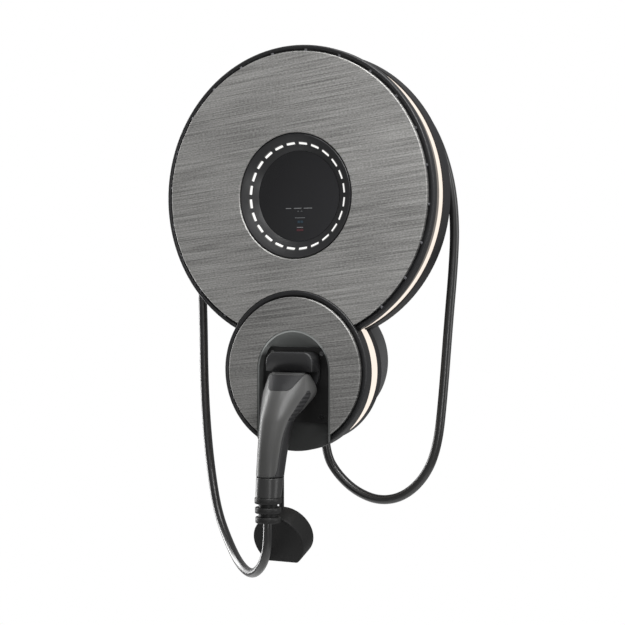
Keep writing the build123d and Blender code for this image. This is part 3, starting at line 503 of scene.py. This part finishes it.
def brushed_finish(name, base):
    """Hairline-brushed sheet: long fine scratches that climb to the right over broader streaks, a short
    grain and slow patches of tone."""
    material = new_finish(name, Metallic=0.5, Specular_IOR_Level=0.4)
    climb = (0, BRUSH_CLIMB, 0)
    hair = noise(material, place(material, (9, 9, 760), climb), detail=5.0)
    streak = noise(material, place(material, (5, 9, 260), climb), detail=3.0)
    grain = noise(material, place(material, (330, 9, 760), climb), detail=3.0)
    patch = noise(material, place(material, (6, 7, 13), climb), detail=2.0)
    lines = scaled(material, hair, 0.5, scaled(material, streak, 0.14, scaled(material, grain, 0.36)))
    uneven = scaled(material, patch, 0.16, lines)
    tone = spread(material, uneven, low=0, high=1, from_low=0.47, from_high=0.69)
    wire(
        material,
        Base_Color=mottled(material, tone, base, BRUSH_CONTRAST),
        Roughness=spread(material, hair, low=0.38, high=0.56),
        Normal=bump(material, lines, strength=0.35, distance=0.0003),
    )
    return material


def moulded_finish(name, base, rough=0.45, grain=MOULD_GRAIN, mottle=0.08, specular=0.5, coat=0.0):
    """Moulded plastic: a fine spark-eroded grain, a slow change of tone and an uneven sheen."""
    material = new_finish(name, Specular_IOR_Level=specular, Coat_Weight=coat, Coat_Roughness=0.3)
    slow = noise(material, place(material), scale=14.0, detail=2.0)
    fine = noise(material, place(material), scale=grain, detail=2.0)
    wire(
        material,
        Base_Color=mottled(material, spread(material, slow, low=0, high=1), base, mottle),
        Roughness=spread(material, fine, low=rough - 0.05, high=rough + 0.07),
        Normal=bump(material, fine, strength=0.5, distance=MOULD_DEPTH),
    )
    return material


def lit_finish(name, base, share):
    """A frosted diffuser lit from inside, by a share of the full glow and with a faint cloudiness."""
    material = new_finish(
        name, Roughness=0.35, Base_Color=(*shade(base, 0.05), 1), Emission_Color=(*base, 1),
    )
    cloud = noise(material, place(material), scale=40.0, detail=2.0)
    uneven = spread(material, cloud, low=-0.03, high=0.03)
    glow = scaled(material, share(material), GLOW, scaled(material, uneven, GLOW))
    wire(material, Emission_Strength=glow)
    return material


def strip_finish(name, node, dim_share):
    """A disc's light strip: dim over a share of its depth from the front, then fully lit."""
    low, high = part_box(node)
    start = low.y + dim_share * (high.y - low.y)

    def share(material):
        return spread(material, depth_of(material), DIM_GLOW, 1.0, start - DIM_EDGE, start)

    return lit_finish(name, colours().strip, share)


def dash_finish(name):
    """The display's dashes: lit within a narrow band of the radius and dark at the borders."""

    def share(material):
        off = compared(material, "SUBTRACT", radius_of(material), DASH_RADIUS)
        away = compared(material, "ABSOLUTE", off, 0.0)
        return spread(material, away, 1.0, DASH_DARK, DASH_CORE * DASH_HALF, DASH_HALF)

    return lit_finish(name, colours().dash, share)


def rim_finish(name, base):
    """Painted rim whose clip tabs, which stand in the groove round the plate, are bare and lighter."""
    material = moulded_finish(name, base, rough=0.36, specular=0.4)
    inside = compared(material, "LESS_THAN", radius_of(material), TAB_RADIUS)
    shallow = compared(material, "LESS_THAN", depth_of(material), TAB_Y)
    tab = add(material, "ShaderNodeMath", operation="MULTIPLY")
    join(material, inside, tab.inputs[0])
    join(material, shallow, tab.inputs[1])
    tone = two_tone(material, tab.outputs[0], base, shade(base, TAB_TONE))
    wire(material, Base_Color=tone)
    return material


def painted_light_liner_finish(name, base, node):
    """Moulded plastic with painted light: its tone is painted lighter towards its top, as if lit, and the
    narrow lip at its front carries a painted highlight.
    """
    low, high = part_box(node)
    material = new_finish(name, Specular_IOR_Level=0.5)
    painted_vault_start = high.z - PAINTED_VAULT_DROP
    rise = spread(material, across(material, "Z"), 0, 1, painted_vault_start, painted_vault_start + PAINTED_VAULT_RISE)
    fine = noise(material, place(material), scale=MOULD_GRAIN, detail=2.0)
    lip_highlight = compared(material, "LESS_THAN", depth_of(material), low.y + PAINTED_LIP_DEPTH)
    # Painted light: the vault lightens upwards, and the lip gets a painted highlight
    tone = two_tone(material, scaled(material, lip_highlight, PAINTED_LIP_HIGHLIGHT, rise), base, shade(base, PAINTED_VAULT_LIGHT))
    wire(
        material,
        Base_Color=tone,
        Roughness=spread(material, fine, low=0.42, high=0.54),
        Normal=bump(material, fine, strength=0.5, distance=MOULD_DEPTH),
    )
    return material


def window_finish(name, base):
    """Dark display glass with a painted reflection: a faint lighter tone that grows towards the lower right.
    """
    material = new_finish(name, Roughness=0.14, Specular_IOR_Level=0.35)
    lean = scaled(material, across(material, "Z"), -0.6, across(material, "X"))
    # Painted reflection: the glass is painted lighter towards the lower right
    painted_reflection = spread(material, lean, low=0, high=1, from_low=-0.05, from_high=0.08)
    cloud = noise(material, place(material), scale=60.0, detail=2.0)
    tone = two_tone(material, scaled(material, cloud, 0.12, painted_reflection), shade(base, 0.8), shade(base, 1.6))
    wire(material, Base_Color=tone)
    return material


def cable_finish(name, base):
    """A smooth rubber jacket with a soft sheen and faint drawing lines along its length."""
    material = new_finish(name, Specular_IOR_Level=0.45, Coat_Weight=0.5, Coat_Roughness=0.24)
    drawn = noise(material, place(material, (3, 6, 1), source="UV"), detail=2.0)
    wire(
        material,
        Base_Color=mottled(material, spread(material, drawn, low=0, high=1), base, 0.15),
        Roughness=spread(material, drawn, low=0.28, high=0.34),
    )
    return material


def metal_finish(name, base, rough):
    """Plain metal with a fine uneven polish."""
    material = new_finish(name, Metallic=1.0)
    polish = noise(material, place(material), scale=300.0, detail=3.0)
    slow = spread(material, noise(material, place(material), scale=25.0, detail=2.0), low=0, high=1)
    tone = two_tone(material, slow, shade(base, 0.9), shade(base, 1.08))
    wire(
        material,
        Base_Color=tone,
        Roughness=spread(material, polish, low=rough - 0.06, high=rough + 0.1),
        Normal=bump(material, polish, strength=0.2, distance=0.00005),
    )
    return material


def dress(material, *names):
    """Gives CAD nodes a finish in every slot."""
    for name in names:
        slots = NODES[name].data.materials
        slots.clear()
        slots.append(material)


# Surfaces

def new_piece(name, mesh, material, body, sharp):
    """An object for a finished mesh, smooth with hard edges past an angle, riding on a body."""
    mesh.polygons.foreach_set("use_smooth", np.ones(len(mesh.polygons), bool))
    mesh.set_sharp_from_angle(angle=math.radians(sharp))
    mesh.materials.clear()
    mesh.materials.append(material)
    piece = bpy.data.objects.new(name, mesh)
    bpy.context.scene.collection.objects.link(piece)
    if body:
        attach(piece, body)
    return piece


def smooth_copy(material, *names, walls=None):
    """Copies of CAD nodes with their triangles joined, so that curves are smooth and edges stay sharp.
    Walls give the radius of a round wall in the solid, and the radius that its points move to."""
    for name in names:
        mesh = NODES[name].data.copy()
        shape = bmesh.new()
        shape.from_mesh(mesh)
        bmesh.ops.remove_doubles(shape, verts=shape.verts, dist=MERGE_DISTANCE)
        shape.to_mesh(mesh)
        shape.free()
        if walls:
            points = np.empty(len(mesh.vertices) * 3)
            mesh.vertices.foreach_get("co", points)
            points = points.reshape(-1, 3)
            outer = np.hypot(points[:, 0], points[:, 2]) > walls[0] - WALL_MARGIN
            points[outer] *= np.array([walls[1] / walls[0], 1, walls[1] / walls[0]])
            mesh.vertices.foreach_set("co", points.ravel())
        piece = new_piece(f"smooth_{name}", mesh, material, BODY_OF[name], NODE_SHARP)
        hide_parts(name)


def grid_faces(rows, columns, close_columns=False, close_rows=False):
    """Quads of a grid of points, closed round its columns or its rows where asked."""
    i, j = np.meshgrid(
        np.arange(rows if close_rows else rows - 1),
        np.arange(columns if close_columns else columns - 1), indexing="ij",
    )
    below, after = (i + 1) % rows, (j + 1) % columns
    corners = [i * columns + j, i * columns + after, below * columns + after, below * columns + j]
    return np.stack(corners, axis=-1).reshape(-1, 4)


def grid_mesh(name, points, close_columns=False, close_rows=False, close_ends=False):
    """A mesh of a grid of points in metres; its end rows can be closed by one many-sided face each."""
    rows, columns = points.shape[:2]
    faces = grid_faces(rows, columns, close_columns, close_rows).tolist()
    if close_ends:
        faces.append(list(range(columns))[::-1])
        faces.append(list(range((rows - 1) * columns, rows * columns)))
    mesh = bpy.data.meshes.new(name)
    mesh.from_pydata(points.reshape(-1, 3).tolist(), [], faces)
    return mesh


def turn_outwards(mesh):
    """Makes a closed mesh's faces point outwards."""
    shape = bmesh.new()
    shape.from_mesh(mesh)
    bmesh.ops.recalc_face_normals(shape, faces=shape.faces)
    shape.to_mesh(mesh)
    shape.free()


def in_frame(points):
    """Points of X, depth and Z in millimetres as metres in the part's frame."""
    return np.asarray(points, float) * MM + np.array([0.0, FRONT_Y, 0.0])


def tube(path, radius, sides):
    """A circle carried along a path: at each point it lies square to the tangent, and its first
    direction is the tangent crossed with the wall's normal."""
    tangents = np.gradient(path, axis=0)
    tangents /= np.linalg.norm(tangents, axis=1, keepdims=True)
    side = np.cross(tangents, [0.0, 1.0, 0.0])
    side /= np.linalg.norm(side, axis=1, keepdims=True)
    up = np.cross(tangents, side)
    turn = np.linspace(0, 2 * math.pi, sides, endpoint=False)[None, :, None]
    return path[:, None] + radius * (np.cos(turn) * side[:, None] + np.sin(turn) * up[:, None])


def spline_points(name, route):
    """Points along a smooth curve whose control points are the route."""
    data = bpy.data.curves.new(name, "CURVE")
    data.dimensions = "3D"
    spline = data.splines.new("NURBS")
    spline.points.add(len(route) - 1)
    spline.points.foreach_set("co", np.c_[route, np.ones(len(route))].ravel())
    spline.order_u = CABLE_ORDER
    spline.use_endpoint_u = True
    spline.resolution_u = CABLE_STEPS
    guide = bpy.data.objects.new(name, data)
    line = bpy.data.meshes.new_from_object(guide)
    points = np.empty(len(line.vertices) * 3)
    line.vertices.foreach_get("co", points)
    bpy.data.objects.remove(guide)
    bpy.data.meshes.remove(line)
    return points.reshape(-1, 3)


def add_uv(mesh, values):
    """A UV map from one pair of values for each point."""
    corners = np.empty(len(mesh.loops), np.int32)
    mesh.loops.foreach_get("vertex_index", corners)
    layer = mesh.uv_layers.new(name="UVMap")
    layer.data.foreach_set("uv", values[corners].astype(np.float32).ravel())


# The handle as one surface of drop and turn

def handle_sizes(drop):
    """Front and back depth and front and back half width at a drop: a cubic between the rows, whose slope
    at a row is that of the line through the rows beside it."""
    knots = HANDLE_ROWS[:, 0]
    count = len(knots)
    before = np.maximum(np.arange(count) - 1, 0)
    after = np.minimum(np.arange(count) + 1, count - 1)
    slopes = (HANDLE_ROWS[after] - HANDLE_ROWS[before]) / (knots[after] - knots[before])[:, None]
    low = np.clip(np.searchsorted(knots, drop, side="right") - 1, 0, count - 2)
    span = (knots[low + 1] - knots[low])[..., None]
    t = (drop - knots[low])[..., None] / span
    rise = 3 * t**2 - 2 * t**3
    leave = (t**3 - 2 * t**2 + t) * span * slopes[low]
    arrive = (t**3 - t**2) * span * slopes[low + 1]
    values = HANDLE_ROWS[low] + (HANDLE_ROWS[low + 1] - HANDLE_ROWS[low]) * rise + leave + arrive
    return np.moveaxis(values[..., 1:], -1, 0)


def handle_surface(drop, turn):
    """Points of the handle in millimetres. The section is a rounded square, sine and cosine raised to
    two over the section power, its width growing evenly from the front to the back."""
    front, back, half_front, half_back = handle_sizes(drop)
    power = 2 / sizes().section_power
    along = np.sign(np.sin(turn)) * np.abs(np.sin(turn)) ** power
    aside = np.sign(np.cos(turn)) * np.abs(np.cos(turn)) ** power
    half = (half_front + half_back) / 2 + along * (half_back - half_front) / 2
    deep = (front + back) / 2 + along * (back - front) / 2
    return np.stack([half * aside, deep, HANDLE_TOP - drop], axis=-1)


def turn_at(along):
    """The turn at which the section is a share of the way from its front (-1) to its back (1)."""
    return np.arcsin(np.sign(along) * np.abs(along) ** (sizes().section_power / 2))


def section_middle(drop):
    """The middle of the handle's section at a drop."""
    front, back = handle_sizes(drop)[:2]
    return np.stack([np.zeros_like(drop), (front + back) / 2, HANDLE_TOP - drop], axis=-1)


def lifted(drop, turn, lift):
    """The handle's surface raised along its own normal, which is the cross product of its two slopes
    turned away from the section's middle."""
    points = handle_surface(drop, turn)
    down = handle_surface(drop + DROP_STEP, turn) - handle_surface(drop - DROP_STEP, turn)
    sideways = handle_surface(drop, turn + TURN_STEP) - handle_surface(drop, turn - TURN_STEP)
    normal = np.cross(down, sideways)
    outward = np.sign(np.sum(normal * (points - section_middle(drop)), axis=-1, keepdims=True))
    normal *= outward / np.linalg.norm(normal, axis=-1, keepdims=True)
    return points + normal * lift[..., None]


def field_steps(count):
    """Steps from 0 to 1 across a field, and its height at them as a share. Its border dips under the
    surface."""
    inner = np.linspace(BORDER_END, 1 - BORDER_END, count)
    steps = np.concatenate([BORDER_STEPS, inner, 1 - BORDER_STEPS[::-1]])
    height = np.concatenate([BORDER_HEIGHTS, np.ones(count), BORDER_HEIGHTS[::-1]])
    return steps, height


def field_grid(drops, counts):
    """The drops and the shares across of a field's grid, and its height in millimetres, which is the lift
    times the lesser of the two shares of height."""
    down, down_height = field_steps(counts[0])
    side, side_height = field_steps(counts[1])
    drop = drops[0] + (drops[1] - drops[0]) * down
    height = sizes().pad_lift / MM * np.minimum(down_height[:, None], side_height[None])
    return drop, side, height


# Operators

class CHARGER_OT_stage(bpy.types.Operator):
    """Sets the floor, the white surround, the studio lights and the camera"""

    bl_idname = "charger.stage"
    bl_label = "Stage"

    def softbox(self, context, name, power, size, place_at, aim):
        data = bpy.data.lights.new(name, "AREA")
        data.shape = "RECTANGLE"
        data.size, data.size_y = size
        data.energy = power
        light = bpy.data.objects.new(name, data)
        light.location = place_at
        light.rotation_euler = (Vector(aim) - Vector(place_at)).to_track_quat("-Z", "Y").to_euler()
        context.scene.collection.objects.link(light)

    def floor(self, context):
        span = np.linspace(-FLOOR_HALF, FLOOR_HALF, FLOOR_POINTS)
        x, y = np.meshgrid(span, span, indexing="ij")
        mesh = grid_mesh("floor", np.stack([x, y, np.full_like(x, settings().floor_height)], axis=-1))
        paint = moulded_finish("floor_paint", colours().floor, rough=0.7, grain=60.0, mottle=0.02)
        mesh.materials.append(paint)
        floor = bpy.data.objects.new("floor", mesh)
        context.scene.collection.objects.link(floor)

    def surround(self, context):
        """A backdrop that is white to look at and a dimmer, even light on the object."""
        world = bpy.data.worlds.new("studio")
        world.use_nodes = True
        tree = world.node_tree
        light = tree.nodes["Background"]
        light.inputs["Color"].default_value = (1, 1, 1, 1)
        path = tree.nodes.new("ShaderNodeLightPath")
        strength = tree.nodes.new("ShaderNodeMapRange")
        strength.inputs["To Min"].default_value = settings().surround
        strength.inputs["To Max"].default_value = settings().backdrop
        tree.links.new(path.outputs["Is Camera Ray"], strength.inputs["Value"])
        tree.links.new(strength.outputs["Result"], light.inputs["Strength"])
        context.scene.world = world
        context.scene.view_settings.view_transform = "Standard"

    def camera(self, context):
        stage = settings()
        data = bpy.data.cameras.new("photo_view")
        data.sensor_width = stage.sensor
        data.lens = stage.lens
        camera = bpy.data.objects.new("photo_view", data)
        camera.location = stage.camera_place
        camera.rotation_euler = (math.radians(90) - stage.camera_pitch, 0, stage.camera_yaw)
        context.scene.collection.objects.link(camera)
        context.scene.camera = camera

    def execute(self, context):
        self.camera(context)
        self.floor(context)
        self.surround(context)
        for row in LIGHTS:
            self.softbox(context, *row)
        return {"FINISHED"}


class CHARGER_OT_cable(bpy.types.Operator):
    """Draws the charging cable from the gland, over the drum and down to the connector"""

    bl_idname = "charger.cable"
    bl_label = "Charging cable"

    def execute(self, context):
        path = spline_points("cable_route", in_frame(CABLE_ROUTE))
        sides = sizes().cable_sides
        radius = sizes().cable_diameter / 2
        run = np.concatenate([[0], np.cumsum(np.linalg.norm(np.diff(path, axis=0), axis=1))])
        mesh = grid_mesh("charging_cable", tube(path, radius, sides), close_columns=True, close_ends=True)
        turn_outwards(mesh)
        uv = np.stack(np.meshgrid(run, np.arange(sides) / sides, indexing="ij"), axis=-1)
        add_uv(mesh, uv.reshape(-1, 2))
        jacket = cable_finish("cable_jacket", colours().cable)
        cable = new_piece("charging_cable", mesh, jacket, None, FIELD_SHARP)
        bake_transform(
            cable, "root", "connector",
            start=(0, FRONT_Y + 40 * MM, 0), end=(0, FRONT_Y - 66 * MM, 0),
        )
        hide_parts("cable_main", "cable_tail")
        return {"FINISHED"}


class CHARGER_OT_large_disc(bpy.types.Operator):
    """Finishes the large disc: brushed plate, rim, lit ring and rear ring"""

    bl_idname = "charger.large_disc"
    bl_label = "Large disc"

    def execute(self, context):
        dress(brushed_finish("brushed_plate", colours().plate), "front_plate")
        smooth_copy(rim_finish("rim_paint", colours().rim), "front_rim")
        smooth_copy(moulded_finish("ring_plastic", colours().ring, rough=0.42, specular=0.35), "rear_ring")
        strip = strip_finish("light_strip", "light_ring", LARGE_STRIP_DIM)
        smooth_copy(strip, "light_ring", walls=(STRIP_WALL, STRIP_DRAWN))
        dress(moulded_finish("light_carrier_plastic", colours().dash), "light_carrier")
        return {"FINISHED"}


class CHARGER_OT_display(bpy.types.Operator):
    """Finishes the display: dished bezel, lit dashes, dark window and the bars of its legend"""

    bl_idname = "charger.display"
    bl_label = "Display"

    def bezel(self, material):
        """The dished ring round the window: its profile carried round the disc's axis."""
        turn = np.linspace(0, 2 * math.pi, BEZEL_SIDES, endpoint=False)
        radius, deep = BEZEL_PROFILE.T[..., None]
        depths = np.broadcast_to(deep, (len(BEZEL_PROFILE), BEZEL_SIDES))
        points = np.stack([radius * np.cos(turn), depths, radius * np.sin(turn)], axis=-1)
        mesh = grid_mesh("dished_bezel", in_frame(points), close_columns=True, close_rows=True)
        turn_outwards(mesh)
        piece = new_piece("dished_bezel", mesh, material, "root", TURNED_SHARP)
        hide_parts("display_bezel")

    def bars(self, group):
        """Flat bars on the window, each a box of four corners in front and four behind."""
        rows = np.array([bar[:4] for bar in LEGEND_BARS if bar[4] == group])
        x, z, wide, high = (rows * MM).T
        corner = np.array([(-1, -1), (1, -1), (1, 1), (-1, 1)]) / 2
        flat_x = x[:, None] + wide[:, None] * corner[:, 0]
        flat_z = z[:, None] + high[:, None] * corner[:, 1]
        front = np.full_like(flat_x, WINDOW_Y - sizes().legend_lift)
        back = np.full_like(flat_x, WINDOW_Y + sizes().legend_lift)
        points = np.stack([
            np.concatenate([flat_x, flat_x], axis=1),
            np.concatenate([front, back], axis=1),
            np.concatenate([flat_z, flat_z], axis=1),
        ], axis=-1)
        box = np.array([(0, 1, 2, 3), (7, 6, 5, 4), (4, 5, 1, 0), (5, 6, 2, 1), (6, 7, 3, 2), (7, 4, 0, 3)])
        faces = box[None] + 8 * np.arange(len(rows))[:, None, None]
        mesh = bpy.data.meshes.new(f"legend_{group}")
        mesh.from_pydata(points.reshape(-1, 3).tolist(), [], faces.reshape(-1, 4).tolist())
        turn_outwards(mesh)
        ink = moulded_finish(f"legend_ink_{group}", getattr(colours(), group), rough=0.5)
        new_piece(f"legend_{group}", mesh, ink, "root", BAR_SHARP)

    def execute(self, context):
        self.bezel(moulded_finish("bezel_plastic", colours().bezel, rough=0.34))
        dress(window_finish("display_glass", colours().window), "display_window")
        dress(dash_finish("dash_light"), "led_segments")
        for group in ("bright", "pale", "blue", "red"):
            self.bars(group)
        return {"FINISHED"}


class CHARGER_OT_dock(bpy.types.Operator):
    """Finishes the dock: plate, rim, lit ring, liner and parking socket"""

    bl_idname = "charger.dock"
    bl_label = "Dock"

    def execute(self, context):
        dress(brushed_finish("dock_brushed_plate", shade(colours().plate, DOCK_PLATE_TONE)), "dock_plate")
        smooth_copy(moulded_finish("dock_rim_paint", colours().rim, rough=0.36, specular=0.4), "dock_rim")
        rear = moulded_finish("dock_ring_plastic", colours().ring, rough=0.42, specular=0.35)
        smooth_copy(rear, "dock_rear_ring")
        smooth_copy(strip_finish("dock_light_strip", "dock_light_ring", DOCK_STRIP_DIM), "dock_light_ring")
        dress(moulded_finish("dock_carrier_plastic", colours().dash), "dock_light_carrier")
        smooth_copy(painted_light_liner_finish("liner_plastic", colours().liner, "dock_liner"), "dock_liner")
        dress(moulded_finish("socket_plastic", colours().socket, rough=0.4), "dock_socket")
        return {"FINISHED"}


class CHARGER_OT_housing(bpy.types.Operator):
    """Finishes the rear housing, its bracket, gland, screws and inner parts"""

    bl_idname = "charger.housing"
    bl_label = "Housing"

    def execute(self, context):
        smooth_copy(moulded_finish("housing_plastic", colours().housing, rough=0.5), "rear_housing")
        smooth_copy(moulded_finish("gland_plastic", colours().ring, rough=0.45), "cable_gland", "gland_nut")
        rubber = moulded_finish("seal_rubber", colours().rubber, rough=0.6)
        dress(rubber, "supply_grommet", "housing_gasket")
        dress(metal_finish("bracket_zinc", shade(colours().steel, ZINC_TONE), rough=0.42), "wall_bracket")
        screws = metal_finish("screw_steel", colours().steel, rough=0.28)
        dress(screws, "bracket_screws", "cover_screws")
        dark = metal_finish("dock_screw_steel", shade(colours().steel, DARK_SCREW_TONE), rough=0.2)
        dress(dark, "dock_screws")
        dress(moulded_finish("board_mask", colours().board, rough=0.35), "display_board", "control_board")
        cases = moulded_finish("case_plastic", colours().device, rough=0.5)
        dress(cases, "contactor", "energy_meter", "power_supply", "terminal_block", "residual_sensor")
        return {"FINISHED"}


class CHARGER_OT_connector(bpy.types.Operator):
    """Finishes the connector's hood, contacts, strain relief and cap"""

    bl_idname = "charger.connector"
    bl_label = "Connector"

    def execute(self, context):
        smooth_copy(moulded_finish("hood_plastic", colours().hood, rough=0.4), "connector_nose")
        dress(moulded_finish("carrier_plastic", colours().ring, rough=0.45), "pin_carrier")
        dress(metal_finish("contact_plating", colours().contact, rough=0.25), "contacts")
        dress(moulded_finish("anchor_plastic", colours().dark, rough=0.42), "tether_anchor")
        smooth_copy(moulded_finish("sleeve_rubber", colours().rubber, specular=0.3), "strain_relief")
        cap = moulded_finish("cap_rubber", colours().rubber, rough=0.5, specular=0.18)
        smooth_copy(cap, "protective_cap")
        return {"FINISHED"}


class CHARGER_OT_handle(bpy.types.Operator):
    """Draws the connector's handle: shell, dark back, ribbed grips, label field and collar"""

    bl_idname = "charger.handle"
    bl_label = "Handle"

    def closed_form(self, name, top, foot, rounding, lift, material, node):
        """The handle's surface between two drops, with rounded ends drawn in by a quarter circle."""
        turn = np.linspace(0, 2 * math.pi, sizes().handle_sides, endpoint=False)
        bend = np.linspace(0, math.pi / 2, ROUNDING_STEPS)
        straight = np.linspace(top + rounding, foot - rounding, sizes().handle_rows)[1:-1]
        drops = np.concatenate([
            top + rounding * (1 - np.sin(bend[::-1])), straight, foot - rounding * (1 - np.sin(bend)),
        ])
        drawn_in = rounding * (1 - np.cos(bend))
        lifts = lift - np.concatenate([drawn_in[::-1], np.zeros(len(straight)), drawn_in])
        drop, around = np.meshgrid(drops, turn, indexing="ij")
        points = lifted(drop, around, np.broadcast_to(lifts[:, None], drop.shape))
        points[..., 2] = HANDLE_TOP - drop
        mesh = grid_mesh(name, in_frame(points), close_columns=True, close_ends=True)
        turn_outwards(mesh)
        return new_piece(name, mesh, material, "connector", TURNED_SHARP)

    def pad(self, name, drop, turn, height, material, node):
        """A thin field on the handle: a grid of drops and turns raised by its height, with a sunk border.
        The grid is turned over where the cross products of its sides point at the section's middle."""
        rows = np.broadcast_to(drop[:, None], turn.shape)
        points = lifted(rows, turn, height)
        middle = section_middle(rows)
        corner = points[:-1, :-1]
        normal = np.cross(points[:-1, 1:] - corner, points[1:, :-1] - corner)
        if np.sum(normal * (corner - middle[:-1, :-1])) < 0:
            points = points[:, ::-1]
        mesh = grid_mesh(name, in_frame(points))
        piece = new_piece(name, mesh, material, "connector", FIELD_SHARP)
        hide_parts(node)

    def label(self, material):
        """The bare field on the head's slope: full width at the top, narrower at its rounded foot."""
        drop, side, height = field_grid(LABEL_DROPS, LABEL_GRID)
        corner = np.clip(drop - LABEL_DROPS[1] + LABEL_CORNER, 0, LABEL_CORNER)
        rounded = LABEL_CORNER - np.sqrt(LABEL_CORNER**2 - corner**2)
        half = np.interp(drop, LABEL_DROPS, LABEL_HALVES) - rounded
        turns = np.linspace(-math.pi / 2, 0, LABEL_SAMPLES)
        reach = handle_surface(*np.meshgrid(drop, turns, indexing="ij"))[..., 0]
        edge = turns[np.minimum(np.sum(reach < half[:, None], axis=1), len(turns) - 1)]
        turn = -math.pi / 2 + (2 * side[None] - 1) * (edge[:, None] + math.pi / 2)
        self.pad("label_field", drop, turn, height, material, "label_panel")

    def grips(self, material):
        """Ribbed pads behind the shell's seam: ribs are a cosine of the drop."""
        drop, side, height = field_grid(GRIP_DROPS, GRIP_GRID)
        front = turn_at(np.interp(drop, *SHELL_SEAM.T))
        rear = turn_at(np.interp(drop, *GRIP_REAR.T))
        turn = front[:, None] + (rear - front)[:, None] * side[None]
        rib = sizes().rib_lift / MM * (0.5 + 0.5 * np.cos(2 * math.pi * drop / (sizes().rib_pitch / MM)))
        inside = np.clip(np.minimum(side, 1 - side) / RIB_MARGIN, 0, 1)
        height = height + rib[:, None] * inside[None]
        self.pad("grip_pad_right", drop, turn, height, material, "grip_right")
        self.pad("grip_pad_left", drop, math.pi - turn, height, material, "grip_left")

    def back(self, material):
        """The dark strip that runs down the back of the handle from seam to seam."""
        drop, side, height = field_grid(BACK_DROPS, BACK_GRID)
        seam = turn_at(np.interp(drop, *SHELL_SEAM.T))
        turn = seam[:, None] + (math.pi - 2 * seam)[:, None] * side[None]
        self.pad("back_strip", drop, turn, height, material, "handle_back_shell")

    def execute(self, context):
        shell = moulded_finish("shell_plastic", colours().shell, rough=0.46, specular=0.2, coat=0.3)
        dark = moulded_finish("back_plastic", colours().dark, rough=0.42, specular=0.4)
        front = self.closed_form(
            "handle_shell", SHELL_TOP, COLLAR_DROP - COLLAR_GAP, SHELL_ROUNDING, 0.0, shell,
            "handle_front_shell",
        )
        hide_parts("handle_front_shell")
        collar = self.closed_form(
            "handle_collar", COLLAR_DROP, HANDLE_LENGTH, COLLAR_ROUNDING, COLLAR_LIFT,
            moulded_finish("collar_plastic", colours().collar, rough=0.34), "lower_collar",
        )
        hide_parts("lower_collar")
        # The neck is painted shadow: near-black plastic, in the socket's colour, for the shadow gap under
        # the hood
        painted_shadow = moulded_finish("gap_plastic", colours().socket, rough=0.6)
        self.closed_form("handle_neck", 0.0, NECK_DROP, NECK_ROUNDING, -NECK_SINK, painted_shadow, "handle_front_shell")
        self.back(dark)
        self.grips(moulded_finish("grip_rubber", colours().grip, rough=0.55, specular=0.3))
        self.label(moulded_finish("label_plastic", colours().dark, rough=0.55, specular=0.25))
        return {"FINISHED"}


# Panel and registration

OPERATORS = (
    CHARGER_OT_stage,
    CHARGER_OT_large_disc,
    CHARGER_OT_display,
    CHARGER_OT_dock,
    CHARGER_OT_housing,
    CHARGER_OT_connector,
    CHARGER_OT_handle,
    CHARGER_OT_cable,
)


class CHARGER_PT_panel(bpy.types.Panel):
    """Lists the steps that dress the charging station"""

    bl_idname = "CHARGER_PT_panel"
    bl_label = "Round Wall Charger"
    bl_space_type = "VIEW_3D"
    bl_region_type = "UI"
    bl_category = "Charger"

    def draw(self, context):
        for step in OPERATORS:
            self.layout.operator(step.bl_idname)


GROUPS = {
    "charger_sizes": ChargerSizes,
    "charger_colours": ChargerColours,
    "charger_stage": ChargerStage,
}


def register():
    for name, group in GROUPS.items():
        bpy.utils.register_class(group)
        setattr(bpy.types.Scene, name, PointerProperty(type=group))
    for step in OPERATORS:
        bpy.utils.register_class(step)
    bpy.utils.register_class(CHARGER_PT_panel)


def unregister():
    bpy.utils.unregister_class(CHARGER_PT_panel)
    for step in reversed(OPERATORS):
        bpy.utils.unregister_class(step)
    for name, group in reversed(GROUPS.items()):
        delattr(bpy.types.Scene, name)
        bpy.utils.unregister_class(group)


def main():
    register()
    bpy.ops.charger.stage()
    bpy.ops.charger.large_disc()
    bpy.ops.charger.display()
    bpy.ops.charger.dock()
    bpy.ops.charger.housing()
    bpy.ops.charger.connector()
    bpy.ops.charger.handle()
    bpy.ops.charger.cable()


if __name__ == "__main__":
    main()
